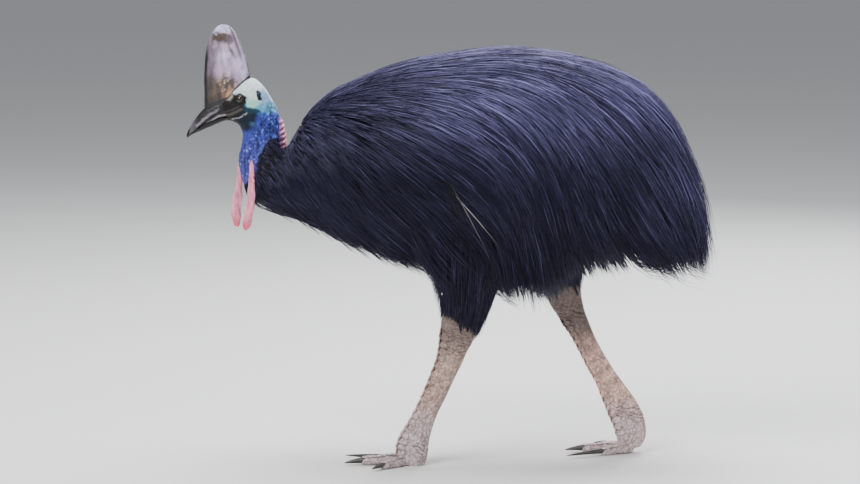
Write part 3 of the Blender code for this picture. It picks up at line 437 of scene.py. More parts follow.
def corner_values(mesh: bpy.types.Mesh, kind: str) -> np.ndarray:
    """Places (co) or ways out (normal) of a mesh's corners."""
    values = np.empty(len(mesh.vertices) * 3)
    mesh.vertices.foreach_get(kind, values)
    return values.reshape(-1, 3)


def in_scene(name: str, data: bpy.types.ID) -> bpy.types.Object:
    """Put a mesh, a light or a camera in the scene as a new object."""
    made = bpy.data.objects.new(name, data)
    bpy.context.scene.collection.objects.link(made)
    return made


def new_object(name: str, mesh: bpy.types.Mesh, material: bpy.types.Material
               ) -> bpy.types.Object:
    """Put a mesh in the scene with a material."""
    mesh.materials.append(material)
    return in_scene(name, mesh)


def turn_outwards(mesh: bpy.types.Mesh) -> None:
    """Turn each closed surface of a mesh so that its faces point outwards."""
    shape = bmesh.new()
    shape.from_mesh(mesh)
    bmesh.ops.recalc_face_normals(shape, faces=shape.faces)
    shape.to_mesh(mesh)
    shape.free()


def settle(made: bpy.types.Object) -> None:
    """Turn an object's modifiers into its mesh."""
    bpy.context.view_layer.update()
    depsgraph = bpy.context.evaluated_depsgraph_get()
    result = bpy.data.meshes.new_from_object(made.evaluated_get(depsgraph))
    made.modifiers.clear()
    made.data = result


def dress(piece: bpy.types.Object, nodes: list[str]) -> None:
    """Tie a finished piece to the frame.

    Args:
        piece: The finished piece.
        nodes: Solids that it stands for.
    """
    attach(piece, Body.ROOT.value)
    if nodes:
        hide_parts(*nodes)
    LOG.info("%s: %d faces, stands for %s", piece.name, len(piece.data.polygons), nodes)


class Wiring:
    """A node tree with short ways to add and join nodes."""

    def __init__(self, tree: bpy.types.NodeTree) -> None:
        """Take hold of a node tree."""
        self.tree = tree

    def node(self, kind: str, inputs: dict[str | int, object] | None = None,
             **settings: object) -> bpy.types.Node:
        """Add a node, make its own settings and feed its inputs.

        Args:
            kind: Type name of the node.
            inputs: What goes into each input, by name or number.
            **settings: Settings of the node by name.

        Returns:
            The new node.
        """
        made = self.tree.nodes.new(kind)
        for name, value in settings.items():
            setattr(made, name, value)
        self.feed(made, inputs or {})
        return made

    def feed(self, node: bpy.types.Node, inputs: dict[str | int, object]) -> None:
        """Link an input of a node where an output is given for it, or else set its value."""
        for name, given in inputs.items():
            if isinstance(given, bpy.types.NodeSocket):
                self.tree.links.new(given, node.inputs[name])
            else:
                node.inputs[name].default_value = given

    def attribute(self, name: str, output: str = "Fac") -> bpy.types.NodeSocket:
        """Output of a mesh attribute."""
        return self.node("ShaderNodeAttribute", attribute_name=name).outputs[output]

    def mix(self, kind: str, factor: object, first: object, second: object
            ) -> bpy.types.NodeSocket:
        """Output between two numbers (FLOAT) or colours (RGBA)."""
        return self.node("ShaderNodeMix", {"Factor": factor, "A": first, "B": second},
                         data_type=kind).outputs["Result"]


def group_tree(name: str, inputs: dict[str, tuple[str, object]], output: tuple[str, str]
               ) -> bpy.types.NodeTree:
    """Make an empty shader group with named sockets.

    Args:
        name: Name of the group.
        inputs: Kind and first value of each input by name.
        output: Name and kind of the output.

    Returns:
        The group's tree.
    """
    tree = bpy.data.node_groups.new(name, "ShaderNodeTree")
    for label, (kind, value) in inputs.items():
        socket = tree.interface.new_socket(label, in_out="INPUT", socket_type=kind)
        socket.default_value = value
    tree.interface.new_socket(output[0], in_out="OUTPUT", socket_type=output[1])
    return tree


@dataclass
class Effects:
    """Shader groups that several finishes share."""

    mottle: bpy.types.NodeTree = field(init=False)
    relief: bpy.types.NodeTree = field(init=False)

    def __post_init__(self) -> None:
        """Build both groups."""
        self.mottle = self._mottle()
        self.relief = self._relief()

    def _mottle(self) -> bpy.types.NodeTree:
        """Uneven lightness: a colour made darker and lighter in patches."""
        tree = group_tree("uneven_colour", {
            "Color": ("NodeSocketColor", (0.5, 0.5, 0.5, 1.0)),
            "Scale": ("NodeSocketFloat", 60.0),
            "Stretch": ("NodeSocketVector", (1.0, 1.0, 1.0)),
            "Darkest": ("NodeSocketFloat", 0.7),
            "Lightest": ("NodeSocketFloat", 1.3),
        }, ("Color", "NodeSocketColor"))
        wires = Wiring(tree)
        given = wires.node("NodeGroupInput").outputs
        place = wires.node("ShaderNodeTexCoord").outputs["Object"]
        stretch = wires.node("ShaderNodeVectorMath", {0: place, 1: given["Stretch"]},
                             operation="MULTIPLY")
        patches = wires.node("ShaderNodeTexNoise", {
            "Vector": stretch.outputs[0], "Scale": given["Scale"], "Detail": 4.0,
            "Roughness": 0.62})
        spread = wires.node("ShaderNodeMapRange", {
            "Value": patches.outputs["Fac"], "From Min": 0.3, "From Max": 0.7,
            "To Min": given["Darkest"], "To Max": given["Lightest"]})
        product = wires.node("ShaderNodeVectorMath", {
            0: given["Color"], 1: spread.outputs["Result"]}, operation="MULTIPLY")
        wires.node("NodeGroupOutput", {"Color": product.outputs[0]})
        return tree

    def _relief(self) -> bpy.types.NodeTree:
        """Height of small cells with finer grain on them."""
        tree = group_tree("cell_relief", {
            "Scale": ("NodeSocketFloat", 300.0),
            "Grain": ("NodeSocketFloat", 0.3),
        }, ("Height", "NodeSocketFloat"))
        wires = Wiring(tree)
        given = wires.node("NodeGroupInput").outputs
        place = wires.node("ShaderNodeTexCoord").outputs["Object"]
        cell = wires.node("ShaderNodeTexVoronoi", {"Vector": place, "Scale": given["Scale"]},
                          feature="DISTANCE_TO_EDGE")
        dome = wires.node("ShaderNodeMapRange", {
            "Value": cell.outputs["Distance"], "From Max": 0.25})
        grain = wires.node("ShaderNodeTexNoise", {
            "Vector": place, "Scale": given["Scale"], "Detail": 5.0})
        height = wires.mix("FLOAT", given["Grain"], dome.outputs["Result"], grain.outputs["Fac"])
        wires.node("NodeGroupOutput", {"Height": height})
        return tree


def new_material(name: str, inputs: dict[str, object]
                 ) -> tuple[bpy.types.Material, Wiring, bpy.types.Node]:
    """Make a material and set up its shader.

    Args:
        name: Name of the material.
        inputs: Values of the shader's inputs by name.

    Returns:
        The material, its tree and its shader.
    """
    made = bpy.data.materials.new(name)
    made.use_nodes = True
    wires = Wiring(made.node_tree)
    shader = made.node_tree.nodes["Principled BSDF"]
    wires.feed(shader, inputs)
    return made, wires, shader


@dataclass(frozen=True)
class Surface:
    """A painted finish with an uneven colour and a fine relief.

    The colour is the piece's own Hue attribute unless one is given here.
    """

    name: str
    roughness: float
    colour: Triple | None = None
    patch_scale: float = 70.0
    patch_stretch: Triple = (1.0, 1.0, 1.0)
    patch_range: Pair = (0.75, 1.25)
    relief_scale: float = 400.0
    relief_grain: float = 0.3
    relief_depth: float = 0.0005
    scale_relief: float = 0.0
    coat: float = 0.0
    specular: float = 0.5

    def material(self, effects: Effects) -> bpy.types.Material:
        """Build the material.

        Args:
            effects: The shared shader groups.

        Returns:
            The material.
        """
        made, wires, shader = new_material(self.name, {
            "Roughness": self.roughness, "Specular IOR Level": self.specular,
            "Coat Weight": self.coat, "Coat Roughness": 0.06})
        colour = (*self.colour, 1.0) if self.colour else wires.attribute("Hue", "Color")
        patches = wires.node("ShaderNodeGroup", {
            "Color": colour, "Scale": self.patch_scale, "Stretch": self.patch_stretch,
            "Darkest": self.patch_range[0], "Lightest": self.patch_range[1],
        }, node_tree=effects.mottle)
        height = self._relief(wires, effects, self.relief_scale, self.relief_grain)
        if self.scale_relief:
            scales = self._relief(wires, effects, self.scale_relief, 0.25)
            height = wires.mix("FLOAT", wires.attribute("Scaly"), height, scales)
        bump = wires.node("ShaderNodeBump", {
            "Strength": 0.8, "Distance": self.relief_depth, "Height": height})
        wires.feed(shader, {"Base Color": patches.outputs["Color"],
                            "Normal": bump.outputs["Normal"]})
        return made

    @staticmethod
    def _relief(wires: Wiring, effects: Effects, scale: float, grain: float
                ) -> bpy.types.NodeSocket:
        """Height of a relief with so many cells in a metre and that share of fine grain."""
        return wires.node("ShaderNodeGroup", {"Scale": scale, "Grain": grain},
                          node_tree=effects.relief).outputs["Height"]


@dataclass(frozen=True)
class Plumage:
    """Hair-like feathers: near black, with a painted violet sheen that stands for reflected light
    and differs from tuft to tuft.
    """

    name: str
    dark: Triple
    sheen: Triple
    roughness: float

    def material(self) -> bpy.types.Material:
        """Build the material."""
        made, wires, shader = new_material(self.name, {
            "Roughness": self.roughness, "Specular IOR Level": 0.45,
            "Specular Tint": (0.64, 0.62, 1.0, 1.0)})
        # base colour runs from near black to the painted sheen by each strand's Tint
        wires.feed(shader, {"Base Color": wires.mix(
            "RGBA", wires.attribute("Tint"), (*self.dark, 1.0), (*self.sheen, 1.0))})
        return made


@dataclass
class Finishes:
    """Every finish of the bird, built once."""

    effects: Effects = field(default_factory=Effects)

    def __post_init__(self) -> None:
        """Build the materials."""
        effects = self.effects
        self.skin = Surface("bare_skin", 0.55, patch_scale=160.0, patch_range=(0.84, 1.2),
                            relief_scale=430.0, relief_depth=0.0007, scale_relief=210.0,
                            specular=0.22).material(effects)
        self.casque = Surface("casque_horn", 0.34, patch_scale=85.0,
                              patch_stretch=(1.0, 1.0, 0.55), patch_range=(0.6, 1.34),
                              relief_scale=120.0, relief_grain=0.85, relief_depth=0.0006,
                              coat=0.2, specular=0.4).material(effects)
        self.bill = Surface("bill_horn", 0.4, patch_scale=140.0, relief_scale=260.0,
                            relief_grain=0.9, relief_depth=0.0003,
                            coat=0.05, specular=0.22).material(effects)
        self.claw = Surface("claw_horn", 0.4, (0.034, 0.029, 0.028), 120.0,
                            (0.3, 1.0, 1.0), (0.6, 1.5), 300.0, relief_grain=0.9,
                            relief_depth=0.0003).material(effects)
        self.scale = Surface("leg_scales", 0.55, patch_scale=110.0, patch_range=(0.65, 1.3),
                             relief_scale=500.0, relief_grain=0.8,
                             relief_depth=0.0004).material(effects)
        self.quill = Surface("wing_quill", 0.6, patch_scale=90.0, relief_grain=1.0,
                             relief_depth=0.0001, specular=0.15).material(effects)
        self.eye = Surface("wet_eye", 0.24, patch_scale=600.0, patch_range=(0.9, 1.1),
                           relief_depth=0.0, coat=0.05).material(effects)
        # plumage: near black, and the painted violet sheen
        self.plumage = Plumage("plumage", (0.003, 0.0034, 0.0072), (0.285, 0.262, 0.57),
                               0.44).material()


@dataclass(frozen=True)
class Marking:
    """A patch of colour on the head, with its outline in the side view in millimetres."""

    colour: Triple
    outline: list[Pair]
    soft: float = 0.004
    share: float = 1.0
    over_top: bool = False


MARKINGS = (
    # pale patch from the brow past the ear, greener low down, and the bright band under it
    Marking(MINT, [
        (-505, 866), (-488, 883), (-467, 910), (-440, 908), (-424, 884), (-410, 860), (-412, 849),
        (-430, 850), (-442, 843), (-458, 835), (-470, 841), (-475, 854), (-476, 866),
        (-498, 869)], 0.005, over_top=True),
    Marking((0.3, 0.86, 0.7), [
        (-475, 856), (-448, 852), (-440, 843), (-458, 835), (-472, 840)], 0.01, 0.75),
    Marking((0.16, 0.5, 0.8), [
        (-442, 847), (-412, 850), (-402, 835), (-405, 824), (-424, 822), (-440, 828),
        (-453, 833)], 0.007, 0.8, True),
    # black face, jaw and chin
    Marking((0.013, 0.0115, 0.012), [
        (-560, 850), (-528, 857), (-506, 870), (-498, 864), (-478, 846), (-474, 832), (-473, 815),
        (-476, 797), (-486, 780), (-530, 780), (-570, 790)], 0.006, 1.0, True),
    Marking((0.003, 0.012, 0.03), [
        (-480, 838), (-446, 829), (-449, 814), (-456, 792), (-468, 782), (-500, 775),
        (-500, 808)], 0.014),
    Marking((0.007, 0.05, 0.075), [
        (-482, 843), (-464, 836), (-443, 834), (-440, 826), (-464, 823),
        (-480, 829)], 0.006, 0.92),
    Marking((0.07, 0.18, 0.3), [
        (-466, 802), (-456, 803), (-453, 795), (-464, 793)], 0.008, 0.7),
    Marking((0.006, 0.006, 0.007), [
        (-505, 860), (-500, 867), (-490, 870), (-479, 868), (-473, 859), (-474, 846), (-484, 841),
        (-497, 843)], 0.005),
    # grey-brown streaks before the eye, pale brow, pale line at the gape, the ear's blue edge, and
    # the ear opening painted near black as painted shade in the hole
    Marking((0.15, 0.132, 0.118), [
        (-540, 814), (-508, 824), (-487, 835), (-483, 831), (-506, 818), (-538, 809)], 0.006, 0.8),
    Marking((0.075, 0.07, 0.066), [
        (-530, 826), (-505, 834), (-492, 841), (-490, 838), (-508, 829), (-530, 822)], 0.004, 0.8),
    Marking((0.55, 0.5, 0.42), [
        (-520, 853), (-510, 864), (-505, 867), (-506, 858), (-514, 852)], 0.006, 0.75),
    Marking((0.5, 0.5, 0.55), [
        (-509, 809.5), (-488, 815.5), (-472, 826), (-470, 823.5), (-487, 812.5),
        (-509, 806.8)], 0.0024, 0.8),
    Marking((0.22, 0.44, 0.8), [
        (-446, 874), (-434, 880), (-416, 872), (-404, 846), (-432, 846),
        (-444, 850)], 0.017, 0.85),
    # ear opening: painted shade in the hole
    Marking((0.004, 0.018, 0.026), [
        (-450, 877), (-445.5, 877), (-441, 868), (-437.5, 856), (-440, 850), (-445, 854),
        (-447, 864)], 0.0028, 0.97),
)


@dataclass
class Skin:
    """One skin over head, neck, body, legs, toes and wattles."""

    sides: int = 196
    head_rings: int = 150
    neck_rings: int = 74
    body_rings: int = 40
    bill_tuck: float = 5.55
    lid_opening: float = 0.0075
    lid_stretch: float = 0.84
    lid_height: float = 0.0015
    wrinkle_depth: float = 0.0016
    nape_fold_height: float = 0.006
    nape_fold_pitch: float = 0.0117
    coat_depth: float = 0.006
    leg_voxel: float = 0.0029

    nodes: tuple[str, ...] = (
        "head", "neck", "collar", "torso", "rump", "thigh_left", "thigh_right", "shank_left",
        "shank_right", "toe_inner_left", "toe_middle_left", "toe_outer_left",
        "toe_inner_right", "toe_middle_right", "toe_outer_right", "wattle_left",
        "wattle_right",
    )

    def build(self, finishes: Finishes) -> None:
        """Make the skin and tie it to the frame.

        Args:
            finishes: The bird's finishes.
        """
        shell = Shell()
        self._add_trunk(shell)
        for wattle in WATTLES:
            wattle.add_to(shell)
        for leg in LEGS:
            leg.add_to(shell, self.leg_voxel)
        dress(shell.build("skin", finishes.skin), list(self.nodes))

    def _add_trunk(self, shell: Shell) -> None:
        """Add head, neck and body as one tube."""
        at = np.concatenate([
            np.linspace(self.bill_tuck, HEAD_AT, 8)[:-1],
            np.linspace(HEAD_AT, NECK_AT, self.head_rings)[:-1],
            np.linspace(NECK_AT, COLLAR_AT, self.neck_rings)[:-1],
            np.linspace(COLLAR_AT, END_AT, self.body_rings),
        ])
        at_grid, angle_grid = ring_grid(at, self.sides)
        tuck = -0.002 * ease(at_grid, HEAD_AT, self.bill_tuck)
        depth = -self.coat_depth * ease(at_grid, COLLAR_AT - 0.5, COLLAR_AT + 2.0)
        grid = oval_points(TUBE_ROWS, at_grid, angle_grid, TUBE_ROUNDNESS, tuck + depth)
        normals = grid_normals(grid)
        height, crease = self._relief(grid, at_grid, angle_grid)
        grid = grid + normals * height[..., None]
        grid = self._open_eyes(grid)
        shell.add_grid(grid, self._paint(grid, at_grid, angle_grid, crease))

    def _relief(self, grid: np.ndarray, at: np.ndarray, angle: np.ndarray
                ) -> tuple[np.ndarray, np.ndarray]:
        """Height of lids, ears, mouth and folds, and a measure of how deep each point lies.

        Args:
            grid: Points of the plain tube.
            at: Place of each point along the tube.
            angle: Place of each point round it.

        Returns:
            Height in metres, and depth from 0 for raised to 1 for creased.
        """
        x, y, z = grid[..., 0], grid[..., 1], grid[..., 2]
        on_side = ease(np.abs(y), 0.012, 0.022)
        ring = np.hypot(x - EYE_PLACE[0], (z - EYE_PLACE[2]) / self.lid_stretch)
        lid = self.lid_height * hump(ring, self.lid_opening + 0.0017, 0.0013)
        folds = 0.0006 * np.sin((ring - self.lid_opening) * 2300.0) * hump(ring, 0.0135, 0.004)
        ear_x = x - EAR_PLACE[0]
        ear_z = z - EAR_PLACE[1]
        ear = np.hypot((ear_x + 0.25 * ear_z) / 0.0048, ear_z / 0.0125)
        ear_hole = -0.0075 * (1 - ease(ear, 0.45, 1.05)) + 0.0011 * hump(ear, 1.3, 0.25)
        mouth = line_distance(x, z, MOUTH_LINE[:3])
        gape = -0.0018 * hump(mouth, 0.0, 0.0008) + 0.0011 * hump(mouth, -0.0032, 0.0018)
        gape = gape * ease(x, -0.468, -0.48)
        loral = 0.0008 * np.sin(line_distance(x, z, LORE_LINE) * 1500.0 + ear_z * 60.0)
        loral = loral * ease(x, -0.476, -0.49) * ease(z, 0.85, 0.84)
        skinny = ease(at, 11.0, 13.2) * (1 - ease(at, 15.4, 16.6))
        cell = cells(grid * np.array([1.0, 1.0, 0.72]), 0.0066)
        wave = smooth_noise(grid * np.array([1.5, 1.5, 0.55]), 0.0095, 1.0)
        wrinkles = self.wrinkle_depth * skinny * ((cell - 0.5) * 1.2 + wave * 0.9)
        fine = 0.00022 * ease(at, 6.0, 7.0) * (1 - skinny) * (cells(grid, 0.0031) - 0.5)
        crest = 0.5 + 0.5 * np.cos(math.tau * (0.815 - z) / self.nape_fold_pitch + y * 110.0)
        nape = self.nape_fold_height * nape_strip(y, z, angle) * (0.25 + 0.75 * crest)
        nape = nape * (1 - ease(at, 15.9, 16.4))
        throat = 0.009 * hump(z, 0.718, 0.055) * hump(angle, math.pi, 0.8)
        height = (lid + folds + ear_hole + gape + loral) * on_side + wrinkles + fine + nape
        crease = np.clip(0.5 - (wrinkles / self.wrinkle_depth) * 0.55, 0.0, 1.0)
        crease = np.where(nape > 0.001, (1 - crest) * 0.85, crease)
        crease = np.maximum(crease, (1 - ease(ear, 0.6, 1.1)) * on_side)
        crease = np.maximum(crease, hump(mouth, 0.0, 0.0009) * on_side * ease(x, -0.468, -0.48))
        return height + throat, crease

    def _open_eyes(self, grid: np.ndarray) -> np.ndarray:
        """Sink the skin inside each lid's edge below the eyeball."""
        x, y, z = grid[..., 0], grid[..., 1], grid[..., 2]
        ring = np.hypot(x - EYE_PLACE[0], (z - EYE_PLACE[2]) / self.lid_stretch)
        inside = (ring < self.lid_opening) & (np.abs(y) > 0.012)
        ball = EYE_PLACE[1] + np.sqrt(np.maximum(EYE_RADIUS**2 - ring**2, 0.0)) - 0.0022
        sunk = np.sign(y) * np.minimum(np.abs(y), ball)
        result = grid.copy()
        result[..., 1] = np.where(inside, sunk, y)
        return result

    def _paint(self, grid: np.ndarray, at: np.ndarray, angle: np.ndarray, crease: np.ndarray
               ) -> np.ndarray:
        """Colours of the bare skin by zone, with painted highlights on the raised skin of the neck
        and painted shade in the creases.

        Args:
            grid: Points of the skin.
            at: Place of each point along the tube.
            angle: Place of each point round it.
            crease: How deep each point lies, from 0 to 1.

        Returns:
            A colour for each point.
        """
        x, y, z = grid[..., 0], grid[..., 1], grid[..., 2]
        drift = smooth_noise(grid, 0.009, 3.0) * 0.003
        stray = smooth_noise(grid, 0.004, 4.0) * 0.0014
        colour = mixed(MINT, AQUA, ease(z + drift, 0.859, 0.846))
        colour = mixed(colour, AZURE, ease(z + drift, 0.84, 0.826))
        colour = mixed(colour, COBALT, ease(z + drift, 0.828, 0.812))
        colour = mixed(colour, VIOLET, ease(z + drift * 3, 0.775, 0.715) * 0.6)
        # painted highlights: lighter blue patches on the raised skin of the neck, kept out of the
        # creases
        pale = ease(smooth_noise(grid, 0.006, 5.0), 0.0, 0.3)
        light = pale * ease(at, 12.0, 13.0) * (1 - crease)
        colour = mixed(colour, (0.24, 0.31, 0.88), light * 0.7)
        crown = mixed(colour, MINT, ease(z, 0.872, 0.882))
        colour = np.where((x < -0.4)[..., None], crown, colour)
        on_side = ease(np.abs(y), 0.004, 0.014)
        for marking in MARKINGS:
            outline = [(corner[0] / 1000, corner[1] / 1000) for corner in marking.outline]
            share = zone(x + drift + stray, z + drift - stray, outline, marking.soft)
            share = share * marking.share * (1.0 if marking.over_top else on_side)
            colour = mixed(colour, marking.colour, share)
        strip = nape_strip(y, z, angle) * (1 - ease(at, 15.9, 16.4))
        colour = mixed(colour, (0.9, 0.33, 0.41), strip)
        inside = drift - line_distance(x, z, FEATHER_LINE)
        feathered = np.maximum(ease(inside, 0.0, 0.005) * (1 - strip), ease(at, 16.4, 16.9))
        feathered = feathered * ease(at, 12.0, 12.6)
        # painted shade: wrinkles, nape folds, the ear opening and the mouth line are darker the
        # deeper they lie
        colour = colour * (1 - 0.92 * crease[..., None] ** 1.25)
        return mixed(colour, UNDER_COAT, feathered)


def mixed(base: np.ndarray | Triple, over: np.ndarray | Triple, share: np.ndarray) -> np.ndarray:
    """One colour laid over another by a share for each point."""
    share = share[..., None]
    return np.asarray(base) * (1 - share) + np.asarray(over) * share


@dataclass(frozen=True)
class Wattle:
    """A flat fold of bare skin that hangs from the throat and swells lower down."""

    path: tuple[tuple[float, float, float, float, float], ...]
    rings: int = 84
    sides: int = 28
    bulbs: float = 5.0
    seed: float = 0.0

    def add_to(self, shell: Shell) -> None:
        """Add the wattle to the skin."""
        rows = np.array(self.path, dtype=float) * MM
        at = np.linspace(0.0, len(rows) - 1.0, self.rings)
        row = blend_rows(rows, at)
        share = at / (len(rows) - 1.0)
        taper = np.sqrt(np.clip((1 - share) / 0.07, 0.02, 1.0))
        swell = (1 + 0.12 * share * np.sin(math.tau * self.bulbs * share + self.seed)) * taper
        angle = np.linspace(0.0, math.tau, self.sides, endpoint=False)
        out = np.stack([np.cos(angle), np.sin(angle), np.zeros(self.sides)], axis=-1)
        wide = (row[:, 3] * swell)[:, None, None]
        thick = (row[:, 4] * swell)[:, None, None]
        size = np.concatenate([wide, thick, np.ones_like(wide)], axis=-1)
        grid = row[:, None, :3] + out[None] * size
        folds = smooth_noise(grid * np.array([1.0, 1.0, 0.22]), 0.0042, 7.0 + self.seed)
        grid = grid + grid_normals(grid) * (folds * 0.0012 * ease(share, 0.02, 0.2)[:, None]
                                            )[..., None]
        pink, deep, blue = (0.92, 0.31, 0.45), (0.84, 0.085, 0.16), (0.1, 0.1, 0.42)
        spread = np.broadcast_to(share[:, None], folds.shape)
        colour = mixed(pink, deep, ease(spread + folds * 0.05, 0.72, 1.0))
        colour = mixed(colour, blue, 1 - ease(spread + folds * 0.03, 0.05, 0.15))
        # painted light and shade: lighter where the folds bulge out, darker in the hollows between
        # them
        colour = colour * (0.8 + 0.42 * np.clip(folds, -0.8, 0.6))[..., None]
        shell.add_grid(grid, colour)


WATTLES = (
    Wattle(((-462, -20, 740, 3.5, 3.5), (-462, -30, 715, 3.8, 3.2), (-462, -35, 690, 5.5, 3.6),
            (-462, -38, 655, 8.2, 4.0), (-464, -40, 620, 9.8, 4.2), (-469, -40, 592, 10.6, 4.6),
            (-474, -39, 565, 9.6, 5.0), (-477, -38, 549, 6.4, 4.0))),
    Wattle(((-476, 12, 742, 3.5, 3.5), (-487, 21, 718, 4.0, 3.2), (-493, 24, 695, 5.0, 3.6),
            (-494, 26, 661, 6.5, 4.0), (-498, 27, 625, 10.0, 4.2), (-502, 27, 592, 11.0, 4.6),
            (-502, 26, 566, 10.0, 5.0), (-500, 25, 550, 6.0, 4.0)), seed=2.0),
)


def toe_points(which: str, share: np.ndarray, angle: np.ndarray) -> np.ndarray:
    """Points on a toe in its own frame, along -X from the knuckle; angle 0 is its top."""
    pad = np.abs(np.sin(math.pi * TOE_PADS[which] * share))
    swell = 1.0 - PAD_SWELL + PAD_SWELL * pad
    half_width = TOE_HALF_WIDTH[which] * (1.0 - TOE_NARROWS * share) * swell
    tall = TOE_HEIGHT[which] * (1.0 - TOE_LOWERS * share) * swell
    middle = tall / 2 - PAD_SINK * pad + PAD_SINK / 2
    return np.stack([-TOE_LENGTH[which] * share, np.sin(angle) * half_width,
                     middle + np.cos(angle) * tall / 2], axis=-1)


@dataclass(frozen=True)
class Leg:
    """One leg: thigh, shank and three toes with their claws."""

    side: Side
    thigh: list
    shank: list
    knuckle: Pair
    foot_turn: float
    pinkness: float
    fringe: tuple[Pair, Pair]
    folds: tuple[Pair, ...]
    sides: int = 48
    fold_depth: float = 0.0022

    @cached_property
    def down(self) -> Vector:
        """Way down the thigh, which its plumage follows."""
        upper, lower = (row[[0, 5, 1]] + row[[2, 5, 3]] for row in flat_rows(self.thigh)[[1, -1]])
        return Vector(unit(lower - upper))

    def fringe_height(self, x: np.ndarray | float) -> np.ndarray | float:
        """Height where the plumage of the thigh ends, at some x."""
        (front, high), (rear, low) = self.fringe
        return high + (low - high) * np.clip((x - front) / (rear - front), 0.0, 1.0)

    def placed(self, which: str, points: np.ndarray) -> np.ndarray:
        """Points of a toe or claw turned and set at the knuckle."""
        turn = math.radians(self.foot_turn + self.side.value * -TOE_TURN[which])
        x = points[..., 0] * math.cos(turn) - points[..., 1] * math.sin(turn)
        y = points[..., 0] * math.sin(turn) + points[..., 1] * math.cos(turn)
        return np.stack([x + self.knuckle[0], y + self.knuckle[1], points[..., 2]], axis=-1)

    def add_to(self, shell: Shell, voxel: float) -> None:
        """Join thigh, shank and toes into one surface and add it to the skin.

        Args:
            shell: The skin that is being gathered.
            voxel: Size of the even mesh that joins the pieces.
        """
        rough = Shell()
        for rows, start, end, rings in ((self.thigh, 1.0, 3.5, 24), (self.thigh, 2.9, 5.0, 24),
                                        (self.shank, 0.0, len(self.shank) - 1.0, 90)):
            at_grid, angle_grid = ring_grid(np.linspace(start, end, rings), self.sides)
            depth = (ease(at_grid, 3.0, 4.9) - 1) * 0.004 if rows is self.thigh else 0.0
            grid = oval_points(flat_rows(rows), at_grid, angle_grid, LEG_ROUNDNESS, depth)
            under_coat = end < 5.0
            (shell if under_coat else rough).add_grid(grid, UNDER_COAT)
        for which in TOE_TURN:
            share = np.linspace(0.0, 1.0, 40)
            grid = toe_points(which, *ring_grid(share, self.sides))
            tip = np.sqrt(np.clip((1 - share) / 0.12, 0.0, 1.0))[:, None] * 0.66 + 0.34
            core = TOE_HEIGHT[which] * (1 - TOE_LOWERS) * 0.5
            grid[..., 1] *= tip
            grid[..., 2] = core + (grid[..., 2] - core) * tip
            rough.add_grid(self.placed(which, grid), BLACK)
        flesh = rough.build("leg_flesh", bpy.data.materials[0])
        even = flesh.modifiers.new("Even", "REMESH")
        even.mode = "VOXEL"
        even.voxel_size = voxel
        soft = flesh.modifiers.new("Soft", "SMOOTH")
        soft.factor = 0.5
        soft.iterations = 4
        settle(flesh)
        points = corner_values(flesh.data, "co")
        crease = self._creases(points)
        normals = corner_values(flesh.data, "normal")
        points = points - normals * (crease * self.fold_depth)[:, None]
        points[:, 2] = np.maximum(points[:, 2], 0.0)
        faces = [tuple(face.vertices) for face in flesh.data.polygons]
        shell.add(points, faces, self.paint(points, crease), 1.0)
        bpy.data.objects.remove(flesh, do_unlink=True)

    def _creases(self, points: np.ndarray) -> np.ndarray:
        """Depth of the folds of loose skin round the ankle and the knuckle, from 0 to 1."""
        z = points[:, 2]
        warp = smooth_noise(points, 0.022, 2.0) * 0.009
        across = np.abs(np.sin((z + warp + points[:, 0] * 0.25) * 360.0))
        strong = np.zeros(len(z))
        for middle, half in self.folds:
            strong = np.maximum(strong, hump(z, middle, half))
        patchy = np.clip(smooth_noise(points, 0.018, 4.0) * 1.2 + 0.8, 0.0, 1.0)
        return (1 - ease(across, 0.0, 0.62)) * strong * patchy

    def paint(self, points: np.ndarray, crease: np.ndarray) -> np.ndarray:
        """Colours of the bare leg: brown above, pink below, lilac grey at the foot, with painted
        shade in the folds.

        Args:
            points: Corners of the leg.
            crease: Depth of the folds at each.

        Returns:
            A colour for each corner.
        """
        z = points[:, 2]
        patch = np.clip(smooth_noise(points, 0.02, 6.0) + 0.5, 0.0, 1.0)
        rosy = mixed((0.53, 0.37, 0.32), (0.94, 0.6, 0.5), np.array(self.pinkness))
        shank = ease(z, 0.315, 0.235) * (0.45 + 0.55 * patch)
        colour = mixed((0.195, 0.153, 0.135), rosy, shank)
        colour = mixed(colour, (0.59, 0.5, 0.53), ease(z, 0.17, 0.065) * (0.6 + 0.4 * patch))
        scales = ease(cells(points * np.array([1.0, 1.0, 0.8]), 0.0085), 0.42, 0.02)
        dark = np.clip(smooth_noise(points, 0.009, 9.0) * 1.3, 0.0, 1.0)
        colour = colour * (1 - 0.34 * dark)[:, None]
        colour = mixed(colour, (0.115, 0.062, 0.052), scales * 0.62)
        # painted shade: near black in the folds, the deeper the darker
        colour = mixed(colour, (0.028, 0.021, 0.02), np.clip(crease * 1.1, 0.0, 0.92))
        ragged = smooth_noise(points, 0.012, 8.0) * 0.01
        above = z - self.fringe_height(points[:, 0]) + ragged
        return mixed(colour, UNDER_COAT, ease(above, 0.004, 0.02))

    def claws(self, finishes: Finishes) -> None:
        """Build the three claws of this foot.

        Args:
            finishes: The bird's finishes.
        """
        for which in TOE_TURN:
            share, angle = ring_grid(np.linspace(0.0, 1.0, 30), 18)
            taper = (1 - share) ** 0.75 * 0.94 + 0.06
            taper = taper * np.sqrt(np.clip((1 - share) / 0.03, 0.04, 1.0))
            keel = 1 + 0.16 * np.abs(np.cos(angle))
            grid = np.stack([
                0.012 - TOE_LENGTH[which] - (CLAW_LENGTH[which] + 0.004) * share,
                np.cos(angle) * TOE_HALF_WIDTH[which] * 0.55 * taper,
                CLAW_HEIGHT - CLAW_DROP[which] * share**1.6
                + np.sin(angle) * TOE_HEIGHT[which] * 0.25 * taper * keel,
            ], axis=-1)
            shell = Shell().add_grid(self.placed(which, grid), BLACK)
            node = f"claw_{which}_{self.side.word}"
            dress(shell.build("horn_" + node, finishes.claw), [node])


